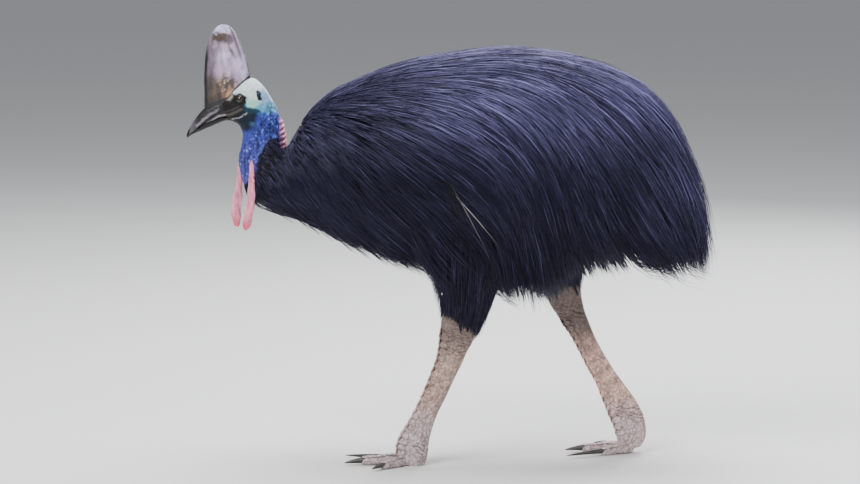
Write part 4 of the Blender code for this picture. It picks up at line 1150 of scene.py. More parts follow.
LEGS = (
    Leg(Side.LEFT, THIGH_LEFT, SHANK_LEFT, (-0.088, -0.073), 4.0, 0.1,
        ((-0.022, 0.352), (0.068, 0.302)), ((0.3, 0.045), (0.04, 0.02))),
    Leg(Side.RIGHT, THIGH_RIGHT, SHANK_RIGHT, (0.436, 0.075), -4.0, 1.0,
        ((0.235, 0.388), (0.31, 0.402)), ((0.34, 0.025), (0.105, 0.035))),
)


@dataclass
class Scutes:
    """Overlapping plates down the front of each shank and along the toes, set by Geometry Nodes."""

    shank_plates: int = 17
    shank_start: float = 0.1
    shank_end: float = 0.86
    side_turn: float = 42.0
    toe_plates: dict[str, int] = field(default_factory=lambda: {"inner": 5, "middle": 8,
                                                                "outer": 6})
    thickness: float = 0.0012
    tilt: float = 0.13
    paler: float = 1.06

    def build(self, finishes: Finishes) -> None:
        """Make the plates of both legs.

        Args:
            finishes: The bird's finishes.
        """
        for leg in LEGS:
            seats = self._shank_seats(leg) + self._toe_seats(leg)
            seeds = seat_object("scute_seats", seats)
            plate = plate_object("scute_plate")
            modifier = seeds.modifiers.new("Plates", "NODES")
            modifier.node_group = plate_tree(plate, finishes.scale)
            modifier[input_name(modifier.node_group, "Thickness")] = self.thickness
            settle(seeds)
            seeds.name = "scutes_" + leg.side.word
            seeds.data.name = seeds.name
            bpy.data.objects.remove(plate, do_unlink=True)
            self._paint(seeds.data, leg)
            dress(seeds, [])

    def _shank_seats(self, leg: Leg) -> list["Seat"]:
        """Places of the plates on a shank."""
        rows = flat_rows(leg.shank)
        last = len(rows) - 1.0
        step = (self.shank_end - self.shank_start) / self.shank_plates
        seats = []
        for number in range(self.shank_plates):
            for turn in (-self.side_turn, 0.0, self.side_turn):
                shift = 0.5 if turn else 0.0
                share = self.shank_start + step * (number + shift)
                narrow = 0.75 if turn else 1.0
                angle = math.radians(turn)
                place, facing, along = oval_frame(rows, share * last, angle, LEG_ROUNDNESS)
                half = float(blend_rows(rows, np.array(share * last))[4])
                length = step * last * 0.036 * (0.72 if turn else 1.0)
                seats.append(Seat(place, facing + along * self.tilt, along,
                                  (half * 0.72 * narrow, length * 0.58)))
        return seats

    def _toe_seats(self, leg: Leg) -> list["Seat"]:
        """Places of the plates on the toes."""
        seats = []
        for which, count in self.toe_plates.items():
            for number in range(count):
                share = 0.22 + 0.72 * (number + 0.5) / count
                place, ahead = leg.placed(which, toe_points(
                    which, np.array([share, share + 0.02]), np.zeros(2)))
                along = unit(place - ahead)
                facing = unit(np.array([0.0, 0.0, 1.0]) - along * along[2])
                half = TOE_HALF_WIDTH[which] * (1 - TOE_NARROWS * share)
                length = TOE_LENGTH[which] * 0.72 / count
                seats.append(Seat(place - facing * 0.0004, facing + along * self.tilt, along,
                                  (half * 0.8, length * 0.62)))
        return seats

    def _paint(self, mesh: bpy.types.Mesh, leg: Leg) -> None:
        """Give the plates the leg's own colours."""
        points = corner_values(mesh, "co")
        set_hue(mesh, leg.paint(points, np.zeros(len(points))) * self.paler)


@dataclass(frozen=True)
class Seat:
    """Place of one plate: where it sits, its way out, its way along, and its half sizes."""

    place: np.ndarray
    facing: np.ndarray
    along: np.ndarray
    half: Pair


def oval_frame(rows: np.ndarray, at: float, angle: float, roundness: float
               ) -> tuple[np.ndarray, np.ndarray, np.ndarray]:
    """Point on a limb with its way out and its way along.

    Args:
        rows: Flat rows of the limb.
        at: Fractional row number.
        angle: Angle from the first point.
        roundness: Power of the oval.

    Returns:
        The point, the way out and the way along, towards the first rows.
    """
    step = 0.02
    place = oval_points(rows, np.array(at), np.array(angle), roundness)
    ahead = oval_points(rows, np.array(at + step), np.array(angle), roundness)
    beside = oval_points(rows, np.array(at), np.array(angle + step), roundness)
    row = blend_rows(rows, np.array(at))
    middle = np.array([(row[0] + row[2]) / 2, row[5], (row[1] + row[3]) / 2])
    facing = unit(np.cross(ahead - place, beside - place))
    if np.dot(facing, place - middle) < 0:
        facing = -facing
    return place, facing, unit(place - ahead)


def seat_object(name: str, seats: list[Seat]) -> bpy.types.Object:
    """Points that carry where and how each plate sits.

    Args:
        name: Name of the object.
        seats: The places.

    Returns:
        The new object, a mesh of loose points with attributes.
    """
    mesh = bpy.data.meshes.new(name)
    mesh.from_pydata([tuple(seat.place) for seat in seats], [], [])
    for label, values in (("facing", [seat.facing for seat in seats]),
                          ("along", [seat.along for seat in seats]),
                          ("half", [(*seat.half, 1.0) for seat in seats])):
        attribute = mesh.attributes.new(label, "FLOAT_VECTOR", "POINT")
        attribute.data.foreach_set("vector", np.array(values, dtype=float).ravel())
    return in_scene(name, mesh)


def plate_object(name: str, sides: int = 10) -> bpy.types.Object:
    """A flat, rounded plate of half size 1 with its thickness along Z.

    Args:
        name: Name of the object.
        sides: Corners round its rim.

    Returns:
        The new object.
    """
    points = [(0.0, 0.0, 1.0)]
    for radius, height in ((0.72, 0.86), (1.0, 0.25), (1.0, -1.0)):
        for step in range(sides):
            angle = math.tau * step / sides
            square = abs(math.cos(angle)) ** 0.7, abs(math.sin(angle)) ** 0.7
            points.append((math.copysign(square[0], math.cos(angle)) * radius,
                           math.copysign(square[1], math.sin(angle)) * radius, height))
    faces = [(0, 1 + step, 1 + (step + 1) % sides) for step in range(sides)]
    for ring in range(2):
        for step in range(sides):
            low = 1 + ring * sides + step
            beside = 1 + ring * sides + (step + 1) % sides
            faces.append((low, low + sides, beside + sides, beside))
    faces.append(tuple(1 + 2 * sides + step for step in reversed(range(sides))))
    mesh = bpy.data.meshes.new(name)
    mesh.from_pydata(points, [], faces)
    turn_outwards(mesh)
    mesh.shade_smooth()
    return in_scene(name, mesh)


def input_name(tree: bpy.types.NodeTree, label: str) -> str:
    """Identifier of one of a tree's inputs."""
    return next(item.identifier for item in tree.interface.items_tree
                if item.name == label and item.in_out == "INPUT")


def plate_tree(plate: bpy.types.Object, material: bpy.types.Material) -> bpy.types.NodeTree:
    """Build the tree: a plate on every point, turned and sized by the point's attributes.

    Args:
        plate: The plate of half size 1.
        material: Finish of the plates.

    Returns:
        The tree, with an input for the plates' thickness.
    """
    tree = bpy.data.node_groups.new("plates_on_seats", "GeometryNodeTree")
    for label, way, kind in (("Geometry", "INPUT", "NodeSocketGeometry"),
                             ("Thickness", "INPUT", "NodeSocketFloat"),
                             ("Geometry", "OUTPUT", "NodeSocketGeometry")):
        tree.interface.new_socket(label, in_out=way, socket_type=kind)
    wires = Wiring(tree)
    given = wires.node("NodeGroupInput").outputs
    facing, along, half = (
        wires.node("GeometryNodeInputNamedAttribute", {"Name": name},
                   data_type="FLOAT_VECTOR").outputs["Attribute"]
        for name in ("facing", "along", "half"))
    stand = wires.node("FunctionNodeAlignRotationToVector", {"Vector": facing}, axis="Z")
    turn = wires.node("FunctionNodeAlignRotationToVector", {
        "Rotation": stand.outputs["Rotation"], "Vector": along}, axis="Y", pivot_axis="Z")
    parts = wires.node("ShaderNodeSeparateXYZ", {"Vector": half}).outputs
    size = wires.node("ShaderNodeCombineXYZ", {
        "X": parts["X"], "Y": parts["Y"], "Z": given["Thickness"]})
    source = wires.node("GeometryNodeObjectInfo", {"Object": plate})
    spots = wires.node("GeometryNodeMeshToPoints", {"Mesh": given["Geometry"]})
    place = wires.node("GeometryNodeInstanceOnPoints", {
        "Points": spots.outputs["Points"], "Instance": source.outputs["Geometry"],
        "Rotation": turn.outputs["Rotation"], "Scale": size.outputs["Vector"]})
    real = wires.node("GeometryNodeRealizeInstances", {"Geometry": place.outputs["Instances"]})
    finish = wires.node("GeometryNodeSetMaterial", {
        "Geometry": real.outputs["Geometry"], "Material": material})
    wires.node("NodeGroupOutput", {"Geometry": finish.outputs["Geometry"]})
    return tree


@dataclass
class Casque:
    """Tall helmet of horn: sharp and dark along the front, rounder behind, worn and glossy."""

    levels: tuple[tuple[float, ...], ...] = (
        (-572, 815, -458, 886, 21.0), (-574, 840, -466, 905, 22.0),
        (-574, 872, -469, 924, 20.0), (-574, 908, -474, 945, 17.5),
        (-571, 945, -481, 965, 14.5), (-566, 978, -490, 987, 11.5),
        (-558, 1001, -498, 1005, 9.0), (-550, 1014, -505, 1016, 6.8),
        (-542, 1022, -512, 1023, 4.8), (-533, 1027, -521, 1027, 2.4),
    )
    rings: int = 120
    sides: int = 96
    front_fullness: float = 0.8
    rear_fullness: float = 1.15

    def build(self, finishes: Finishes) -> None:
        """Make the casque.

        Args:
            finishes: The bird's finishes.
        """
        rows = np.array(self.levels) * MM
        at = np.linspace(0.0, len(rows) - 1.0, self.rings)
        row = blend_rows(rows, at)[:, None, :]
        angle = np.linspace(0.0, math.tau, self.sides, endpoint=False)[None, :]
        along = (1 - np.cos(angle)) / 2
        full = self.front_fullness * (1 - along) + self.rear_fullness * along
        grid = np.stack([row[..., 0] + (row[..., 2] - row[..., 0]) * along,
                         np.sin(angle) * full * row[..., 4],
                         row[..., 1] + (row[..., 3] - row[..., 1]) * along], axis=-1)
        dents = smooth_noise(grid * np.array([1.0, 1.0, 0.6]), 0.03, 11.0)
        chips = smooth_noise(grid, 0.007, 12.0)
        height = dents * 0.0016 + np.minimum(chips + 0.25, 0.0) * 0.0012
        height = height * ease(np.broadcast_to(at[:, None], dents.shape), 0.5, 1.5)
        grid = grid + grid_normals(grid) * height[..., None]
        shell = Shell().add_grid(grid, self._paint(grid, along, dents))
        dress(shell.build("casque_helmet", finishes.casque), ["casque"])

    def _paint(self, grid: np.ndarray, along: np.ndarray, dents: np.ndarray) -> np.ndarray:
        """Colours of the horn: mauve grey with painted lilac highlights on the side and top, black
        along the front as painted shade on its front face, tan low in the middle.

        Args:
            grid: Points of the casque.
            along: Share of the way from the front edge to the rear edge.
            dents: The wear of each point; not used.

        Returns:
            A colour for each point.
        """
        z = grid[..., 2]
        along = np.broadcast_to(along, z.shape)
        streak = smooth_noise(grid * np.array([1.0, 1.0, 0.3]), 0.012, 13.0)
        grain = smooth_noise(grid, 0.0045, 14.0)
        rough = z + grain * 0.004 + smooth_noise(grid, 0.011, 15.0) * 0.008
        colour = mixed((0.145, 0.112, 0.15), (0.385, 0.285, 0.42),
                       ease(along + streak * 0.16, 0.16, 0.5))
        # painted highlights: lilac light high on the side, towards the rear and in the middle
        lit = hump(z, 0.93, 0.03) * hump(along, 0.8, 0.16) + hump(z, 0.955, 0.014) * hump(
            along, 0.5, 0.12) * 0.8
        colour = mixed(colour, (0.56, 0.46, 0.74), np.clip(lit, 0.0, 1.0) * 0.75)
        low = ease(z + streak * 0.012, 0.922, 0.888)
        tan = mixed((0.062, 0.048, 0.045), (0.4, 0.215, 0.125),
                    hump(along, 0.5, 0.17) * ease(streak, -0.45, 0.35))
        colour = mixed(colour, tan, low * (1 - hump(along, 0.85, 0.14) * 0.7))
        spots = ease(grain, 0.12, 0.55) * hump(z, 0.892, 0.03) * hump(along, 0.55, 0.2)
        colour = mixed(colour, (0.8, 0.56, 0.44), spots * 0.7)
        cap = ease(rough, 0.98, 0.994) * ease(rough, 1.012, 1.003)
        cap = cap * (1 - ease(np.abs(along - 0.44 + streak * 0.16), 0.2, 0.42))
        colour = mixed(colour, (0.048, 0.034, 0.024), cap * 0.95)
        # painted highlight: lilac light along the top, above the brown cap
        colour = mixed(colour, (0.44, 0.4, 0.62), ease(rough, 1.004, 1.014) * 0.8)
        # painted shade: black along the front edge, standing for the casque's front face in shade
        edge = (1 - ease(along, 0.045, 0.105)) * (1 - ease(z, 0.95, 0.99))
        rear = (hump(along, 0.9, 0.045) * ease(z, 0.93, 0.96) + ease(along, 0.965, 0.995)) * 0.8
        slant = hump(along - (0.98 - z) * 4.0, 0.66, 0.05) * hump(z, 0.966, 0.014) * 0.8
        above = z - height_on_line(grid[..., 0], [(-0.575, 0.832), (-0.518, 0.855),
                                                  (-0.496, 0.8813), (-0.47, 0.9035)])
        foot = (1 - ease(above, 0.003, 0.007)) + (1 - ease(above, 0.004, 0.03)) * (
            ease(grid[..., 0], -0.51, -0.535) * 0.7)
        return mixed(colour, (0.012, 0.011, 0.013), np.clip(edge + rear + slant + foot, 0.0, 0.97))


@dataclass
class Bill:
    """Upper and lower bill of dark horn, with pale bands of painted highlight, nostrils and a long
    groove.
    """

    rings: int = 130
    sides: int = 96
    root_at: float = 6.04
    groove: tuple[Pair, ...] = ((-0.536, 0.8262), (-0.5501, 0.8187), (-0.5761, 0.7965),
                                (-0.5861, 0.7885))
    nostril: Pair = (-0.587, 0.7885)

    def build(self, finishes: Finishes) -> None:
        """Make both halves.

        Args:
            finishes: The bird's finishes.
        """
        at_grid, angle_grid = ring_grid(np.linspace(0.0, self.root_at, self.rings), self.sides)
        plain = oval_points(TUBE_ROWS, at_grid, angle_grid, TUBE_ROUNDNESS)
        normals = grid_normals(plain)
        x, y, z = plain[..., 0], plain[..., 1], plain[..., 2]
        on_side = ease(np.abs(y), 0.002, 0.006)
        groove = line_distance(x, z, list(self.groove))
        hole = np.hypot((x - self.nostril[0]) * 0.77 - (z - self.nostril[1]) * -0.64,
                        ((z - self.nostril[1]) * 0.77 + (x - self.nostril[0]) * -0.64) * 3.2)
        height = -0.0016 * hump(groove, 0.0, 0.0016) * on_side
        height -= 0.0034 * (1 - ease(hole, 0.0028, 0.0046)) * on_side
        height += 0.0006 * hump(groove, 0.0048, 0.002) * on_side
        height += 0.00035 * smooth_noise(plain * np.array([0.5, 1.0, 0.8]), 0.005, 20.0)
        grid = plain + normals * (height * ease(at_grid, 0.0, 1.0))[..., None]
        colour = self._paint(grid, groove, hole, on_side)
        mouth = height_on_line(grid[..., 0], MOUTH_LINE)
        for name, sign in (("upper", 1.0), ("lower", -1.0)):
            half = grid.copy()
            edge = mouth + sign * 0.00035
            lifted = np.maximum(half[..., 2], edge) if sign > 0 else np.minimum(half[..., 2], edge)
            half[..., 2] = lifted
            inward = np.abs(lifted - grid[..., 2]) > 0
            half[..., 1] = np.where(inward, half[..., 1] * 0.97, half[..., 1])
            shell = Shell().add_grid(half, colour)
            node = "bill_" + name
            dress(shell.build(node + "_horn", finishes.bill), [node])

    def _paint(self, grid: np.ndarray, groove: np.ndarray, hole: np.ndarray,
               on_side: np.ndarray) -> np.ndarray:
        """Colours of the bill: near black, with painted highlights as grey bands above and below
        the groove, and painted shade in the groove, the nostril and the mouth line.

        Args:
            grid: Points of the bill.
            groove: Distance from the groove, positive above it.
            hole: Distance from the nostril.
            on_side: 1 on the sides, 0 along the ridge.

        Returns:
            A colour for each point.
        """
        x, z = grid[..., 0], grid[..., 2]
        black = np.array([0.008, 0.0075, 0.008])
        colour = mixed(black * 1.8, (0.155, 0.14, 0.17), ease(x, -0.585, -0.61) * 0.7)
        grain = smooth_noise(grid * np.array([0.4, 1.0, 0.5]), 0.004, 21.0) * 0.0022
        # painted highlight: a lilac grey band above the groove
        high = line_distance(x, z, [(-0.536, 0.83), (-0.5681, 0.812), (-0.5902, 0.79)])
        fade = ease(x, -0.533, -0.548)
        colour = mixed(colour, (0.205, 0.185, 0.235),
                       hump(high + grain, 0.001, 0.0031) * fade * 0.9)
        # painted highlight: a thin pale line below the groove
        thin = line_distance(x, z, [(-0.52, 0.819), (-0.5401, 0.8147), (-0.5661, 0.7985),
                                    (-0.598, 0.773)])
        colour = mixed(colour, (0.3, 0.278, 0.305), hump(thin + grain * 0.4, 0.0, 0.0021) * 0.85)
        mouth = line_distance(x, z, MOUTH_LINE)
        colour = mixed(colour, black, ease(mouth, 0.0008, -0.0006) * 0.95)
        # painted shade: darker in the groove, along the mouth line and in the nostril; the tip is
        # darker too
        dark = np.maximum(hump(groove, 0.0, 0.0022), hump(mouth, 0.0, 0.0013)) * on_side
        dark = np.maximum(dark, 1 - ease(hole, 0.0036, 0.0056))
        dark = np.maximum(dark, ease(x, -0.603, -0.612))
        return mixed(colour, black * 0.5, np.clip(dark, 0.0, 1.0))


@dataclass
class Eyes:
    """Two dark brown eyes, each with a pupil and a wet front."""

    rings: int = 40
    sides: int = 48
    pupil: float = 0.0034
    iris: float = 0.0064

    def build(self, finishes: Finishes) -> None:
        """Make both eyes.

        Args:
            finishes: The bird's finishes.
        """
        for side in Side:
            polar = np.linspace(0.002, math.pi - 0.002, self.rings)[:, None]
            turn = np.linspace(0.0, math.tau, self.sides, endpoint=False)[None, :]
            radius = EYE_RADIUS + 0.0006 * hump(polar, 0.0, 0.45)
            grid = np.stack([
                EYE_PLACE[0] + radius * np.sin(polar) * np.cos(turn),
                side.value * (EYE_PLACE[1] + radius * np.cos(polar) * np.ones_like(turn)),
                EYE_PLACE[2] + radius * np.sin(polar) * np.sin(turn),
            ], axis=-1)
            away = np.broadcast_to(EYE_RADIUS * np.sin(polar), grid.shape[:-1])
            away = np.where(np.broadcast_to(polar, away.shape) > math.pi / 2, EYE_RADIUS, away)
            colour = mixed((0.024, 0.011, 0.007), (0.002, 0.002, 0.002),
                           1 - ease(away, self.pupil - 0.0004, self.pupil + 0.0004))
            colour = mixed(colour, (0.012, 0.01, 0.01),
                           ease(away, self.iris - 0.0008, self.iris + 0.0006))
            shell = Shell().add_grid(grid, colour)
            node = "eye_" + side.word
            dress(shell.build(node + "_ball", finishes.eye), [node])


@dataclass
class Wings:
    """The small wing arm under the coat and its bare quills, which lie over the flank."""

    arm: Triple = (-0.016, 0.16, 0.69)
    roots: tuple[Pair, ...] = ((-0.003, 0.664), (0.0, 0.677), (-0.004, 0.68), (-0.008, 0.684),
                               (-0.012, 0.687))
    tips: tuple[Pair, ...] = ((0.128, 0.514), (0.102, 0.485), (0.088, 0.472), (0.066, 0.47),
                              (0.036, 0.476))
    root_y: float = 0.204
    tip_y: float = 0.236
    bow: float = 0.013
    radius: float = 0.0014
    paleness: tuple[float, ...] = (0.7, 0.3, 0.0, 0.0, 0.0)

    def build(self, finishes: Finishes) -> None:
        """Make both wings.

        Args:
            finishes: The bird's finishes.
        """
        for side in Side:
            shell = Shell()
            self._add_arm(shell, side)
            for root, tip, paleness in zip(self.roots, self.tips, self.paleness):
                self._add_quill(shell, side, root, tip, paleness)
            node = "wing_" + side.word
            dress(shell.build(node + "_quills", finishes.quill), [node])

    def _add_arm(self, shell: Shell, side: Side) -> None:
        """Add the arm, a flattened bud that the coat covers."""
        polar = np.linspace(0.01, math.pi - 0.01, 20)[:, None]
        turn = np.linspace(0.0, math.tau, 28, endpoint=False)[None, :]
        local = np.stack([0.036 * np.cos(polar) * np.ones_like(turn),
                          0.018 * np.sin(polar) * np.cos(turn),
                          0.013 * np.sin(polar) * np.sin(turn)], axis=-1)
        lean = math.radians(-40.0)
        x = local[..., 0] * math.cos(lean) - local[..., 2] * math.sin(lean)
        z = local[..., 0] * math.sin(lean) + local[..., 2] * math.cos(lean)
        grid = np.stack([self.arm[0] + x, side.value * self.arm[1] + local[..., 1],
                         self.arm[2] + z], axis=-1)
        shell.add_grid(grid, (0.004, 0.004, 0.006))

    def _add_quill(self, shell: Shell, side: Side, root: Pair, tip: Pair, paleness: float) -> None:
        """Add one long bare quill.

        Args:
            shell: The wing that is being gathered.
            side: Side of the bird.
            root: x and z of its root.
            tip: x and z of its tip.
            paleness: How pale its shaft is, from 0 to 1.
        """
        share = np.linspace(0.0, 1.0, 26)[:, None]
        middle = np.concatenate([
            root[0] + (tip[0] - root[0]) * share,
            side.value * (self.root_y + (self.tip_y - self.root_y) * share
                          + self.bow * np.sin(math.pi * share)),
            root[1] + (tip[1] - root[1]) * share + 0.006 * np.sin(math.pi * share),
        ], axis=1)
        angle = np.linspace(0.0, math.tau, 8, endpoint=False)
        out = np.stack([np.cos(angle), np.sin(angle), np.zeros(8)], axis=-1)
        radius = self.radius * (1 - 0.88 * share**1.5)
        grid = middle[:, None, :] + out[None] * radius[..., None]
        dark, pale = (0.003, 0.003, 0.004), (0.4, 0.37, 0.36)
        spread = np.broadcast_to(hump(share, 0.46, 0.3) * paleness, grid.shape[:-1])
        shell.add_grid(grid, mixed(dark, pale, spread))


@dataclass(frozen=True)
class CoatPatch:
    """One piece of the coat: the stretch of the body and the side that its tufts grow on."""

    name: str
    start: float
    end: float
    side: int
    strands: int


@dataclass
class Guide:
    """Middle line of a tuft with its ways sideways and out, and its place on the unwrap."""

    lines: np.ndarray
    spot: np.ndarray
    size: float
    broad: float


@dataclass
class Coat:
    """Long, loose, hair-like plumage in thin overlapping tufts that hang along their lie."""

    patches: tuple[CoatPatch, ...] = (
        CoatPatch("coat_collar", 13.6, 19.0, 0, 5800),
        CoatPatch("coat_breast_left", 19.0, 21.8, -1, 5000),
        CoatPatch("coat_breast_right", 19.0, 21.8, 1, 4300),
        CoatPatch("coat_flank_left", 21.8, 24.0, -1, 7000),
        CoatPatch("coat_flank_right", 21.8, 24.0, 1, 6300),
        CoatPatch("coat_hip_left", 24.0, 26.3, -1, 7000),
        CoatPatch("coat_hip_right", 24.0, 26.3, 1, 6300),
        CoatPatch("coat_tail", 26.3, 30.8, 0, 7000),
    )
    thigh_strands: int = 2300
    a_tuft: int = 5
    steps: int = 5
    sink: float = 0.007
    widths: tuple[float, ...] = (0.8, 1.0, 1.0, 0.86, 0.58)
    strand_width: float = 0.0016
    under_share: float = 0.22
    under_width: float = 2.8
    patch_size: float = 0.003
    # share of painted sheen by height and along the bird: most on the back, where the light from
    # above falls
    tint_z: tuple[float, ...] = (0.5, 0.65, 0.72, 0.8, 0.88, 0.98)
    tint_up: tuple[float, ...] = (0.04, 0.12, 0.26, 0.66, 0.94, 0.62)
    tint_x: tuple[float, ...] = (-0.4, -0.25, -0.1, 0.05)
    tint_along: tuple[float, ...] = (0.36, 0.37, 0.58, 1.0)

    def __post_init__(self) -> None:
        """Make the ground that the tufts lie on, and the seeded chances."""
        self.chance = np.random.default_rng(SEED)
        points: list[Triple] = []
        faces: list[tuple[int, ...]] = []
        self._add_ground(points, faces, TUBE_ROWS, 10.0, END_AT, 110, 64, TUBE_ROUNDNESS)
        for leg in LEGS:
            self._add_ground(points, faces, flat_rows(leg.thigh), 0.0, 5.0, 24, 32,
                             LEG_ROUNDNESS)
            self._add_ground(points, faces, flat_rows(leg.shank), 0.0, 4.0, 16, 24,
                             LEG_ROUNDNESS)
        self.ground = BVHTree.FromPolygons(points, faces)

    def _add_ground(self, points: list, faces: list, rows: np.ndarray, start: float, end: float,
                    rings: int, sides: int, roundness: float) -> None:
        """Add one tube to the ground."""
        grid = oval_points(rows, *ring_grid(np.linspace(start, end, rings), sides), roundness)
        across = grid[1, 1] - grid[1, 0]
        along = grid[2, 0] - grid[1, 0]
        outwards = np.dot(np.cross(across, along), grid[1, 0] - grid[1].mean(axis=0)) > 0
        for face in grid_faces(rings, sides, len(points)):
            faces.append(face if outwards else tuple(reversed(face)))
        points += [tuple(point) for point in grid.reshape(-1, 3)]

    def build(self, finishes: Finishes) -> None:
        """Make every piece of the coat.

        Args:
            finishes: The bird's finishes.
        """
        beds = [(patch.name, self._patch_guides, patch) for patch in self.patches]
        beds += [("coat_thigh_" + leg.side.word, self._thigh_guides, leg) for leg in LEGS]
        for name, guides, bed in beds:
            dress(self._piece(name, guides(bed), finishes.plumage), [])

    def _patch_guides(self, patch: CoatPatch) -> list[Guide]:
        """Tufts of one patch, spread evenly over its area.

        Args:
            patch: The stretch and side.

        Returns:
            The tufts' guides.
        """
        wanted = patch.strands // self.a_tuft
        tries = self.chance.uniform(0.0, 1.0, (wanted * 16, 3))
        at = patch.start + (patch.end - patch.start) * tries[:, 0]
        angle = (tries[:, 1] * 2 - 1) * math.pi
        if patch.side:
            angle = np.abs(angle) * patch.side
        belly = ease(np.abs(angle), 2.4, 3.0)
        weight = self._area(at) * (1.0 + belly * np.interp(at, [17.5, 20.0], [1.2, -0.35]))
        weight = weight * (1.0 + 1.2 * ease(at, 27.6, 29.2))
        roots = oval_points(TUBE_ROWS, at, angle, TUBE_ROUNDNESS)
        inside = -line_distance(roots[:, 0], roots[:, 2], FEATHER_LINE)
        nape = (np.abs(roots[:, 1]) < nape_half(roots[:, 2]) + 0.001) & (np.cos(angle) > 0)
        keep = (tries[:, 2] < weight / weight.max()) & (inside > 0.0)
        keep &= ~nape | (at > COLLAR_AT + 0.1)
        at, angle, inside = at[keep], angle[keep], inside[keep]
        length = np.interp(at, [15.0, 17.0, 19.0, 21.0, 23.0, 25.0, 29.0],
                           [0.04, 0.07, 0.12, 0.18, 0.23, 0.265, 0.28])
        length = np.minimum(length, 0.014 + 0.75 * inside)
        stays = 1 - 0.35 * ease(np.abs(angle), 2.3, 2.9) * ease(at, 18.0, 20.0)
        spots = np.stack([(at - 13.0) / 18.0, 0.5 + angle / math.tau * 0.94], axis=-1)
        return self._grow(wanted, (roots[keep], length, stays, spots), (0.7, 1.12),
                          (0.012, 0.066))

    def _thigh_guides(self, leg: Leg) -> list[Guide]:
        """Tufts of one thigh, which lie down the leg to the ankle."""
        wanted = self.thigh_strands // self.a_tuft
        at = self.chance.uniform(0.9, 4.9, wanted * 4)
        angle = self.chance.uniform(-math.pi, math.pi, wanted * 4)
        roots = oval_points(flat_rows(leg.thigh), at, angle, LEG_ROUNDNESS)
        length = np.interp(at, [0.9, 3.0, 4.2, 4.9], [0.15, 0.11, 0.06, 0.03])
        band = 0.0 if leg.side is Side.LEFT else 0.45
        spots = np.stack([0.02 + band + at * 0.08, 0.02 + (angle / math.tau + 0.5) * 0.9], axis=-1)
        return self._grow(wanted, (roots, length, np.ones(len(at)), spots), (0.75, 1.15),
                          (0.02, 0.1), leg)

    def _grow(self, wanted: int, beds: tuple[np.ndarray, ...], lengths: Pair, slopes: Pair,
              leg: Leg | None = None) -> list[Guide]:
        """Trace tufts until there are enough of them.

        Args:
            wanted: How many tufts.
            beds: Roots, lengths, share of each length that stays, and places on the unwrap.
            lengths: Range of the chance in their lengths.
            slopes: Range of their rise from the body for each metre.
            leg: The leg that they grow on, if any.

        Returns:
            Their guides.
        """
        guides: list[Guide] = []
        for root, length, stays, spot in zip(*beds):
            length *= self.chance.uniform(*lengths) * stays
            under = self.chance.random() < self.under_share
            slope = 0.003 if under else self.chance.uniform(*slopes)
            lines = self._trace(root, length * (0.8 if under and not leg else 1.0), slope, leg)
            if lines is not None:
                guides.append(Guide(lines, spot, length, self.under_width if under else 1.0))
            if len(guides) >= wanted:
                break
        return guides

    @staticmethod
    def _area(at: np.ndarray) -> np.ndarray:
        """Area of the body for each unit of place and angle."""
        row, ahead = blend_rows(TUBE_ROWS, at), blend_rows(TUBE_ROWS, at + 0.1)
        middle, next_middle = ((each[:, :2] + each[:, 2:4]) / 2 for each in (row, ahead))
        tall, next_tall = (np.hypot(each[:, 0] - each[:, 2], each[:, 1] - each[:, 3]) / 2
                           for each in (row, ahead))
        step = np.hypot(np.linalg.norm(next_middle - middle, axis=1), next_tall - tall)
        return step * (tall + row[:, 4]) + 1e-5

    @staticmethod
    def _body_lie(point: Vector) -> Vector:
        """Way that the plumage lies at a point of the body."""
        place = float(np.interp(point.x, LIE_X, range(len(LIE_X))))
        low = min(int(place), len(LIE_X) - 2)
        share = place - low
        near = np.interp(point.z, LIE_Z, LIE_DEGREES[low])
        far = np.interp(point.z, LIE_Z, LIE_DEGREES[low + 1])
        fall = math.radians(near * (1 - share) + far * share)
        return Vector((math.cos(fall), 0.0, -math.sin(fall)))

    def _trace(self, root: np.ndarray, length: float, slope: float, leg: Leg | None
               ) -> np.ndarray | None:
        """Middle line of a tuft from its sunk root to its tip.

        Args:
            root: Point on the body.
            length: Length of the tuft.
            slope: Rise from the body for each metre of length.
            leg: The leg that it grows on, if any.

        Returns:
            Points, ways sideways and ways out, or None where the tuft would be too short.
        """
        point = Vector(root)
        drift = self.chance.normal(0.0, 0.07)
        stop = self.chance.normal(0.001, 0.011)
        droop = self.chance.normal(0.0, 4.0)
        points, sideways, outwards = [], [], []
        step = length / self.steps
        for number in range(self.steps + 1):
            share = number / self.steps
            place, surface, _, distance = self.ground.find_nearest(point)
            rise = min(share / 0.12, 1.0)
            wanted = -self.sink * (1 - rise) + rise * (0.0015 + slope * length * share)
            height = math.copysign(distance, (point - place).dot(surface))
            if height < wanted:
                point = place + surface * wanted
            elif surface.z > 0.2 and point.x < 0.4:
                point = point.lerp(place + surface * wanted, 0.6)
            limit = leg.fringe_height(point.x) if leg else self._lowest(point.x)
            room = (point.z - limit - stop) / 0.04
            if room < 0.0 and share > 0.3:
                break
            points.append(tuple(point))
            way = leg.down if leg else self._hung(self._body_lie(point), point, surface, droop,
                                                  room)
            into = way.dot(surface)
            # how closely a tuft follows a surface that falls away from it
            cling = 0.9 if leg else 0.88 * surface.y**2
            way = (way - surface * into * (1.0 if into < 0 else cling)).normalized()
            across = way.cross(surface).normalized()
            sideways.append(tuple(across))
            outwards.append(tuple(across.cross(way).normalized()))
            point = point + (way + across * drift * share).normalized() * step
        if len(points) < 3:
            return None
        return np.stack([self._resampled(line) for line in (points, sideways, outwards)])

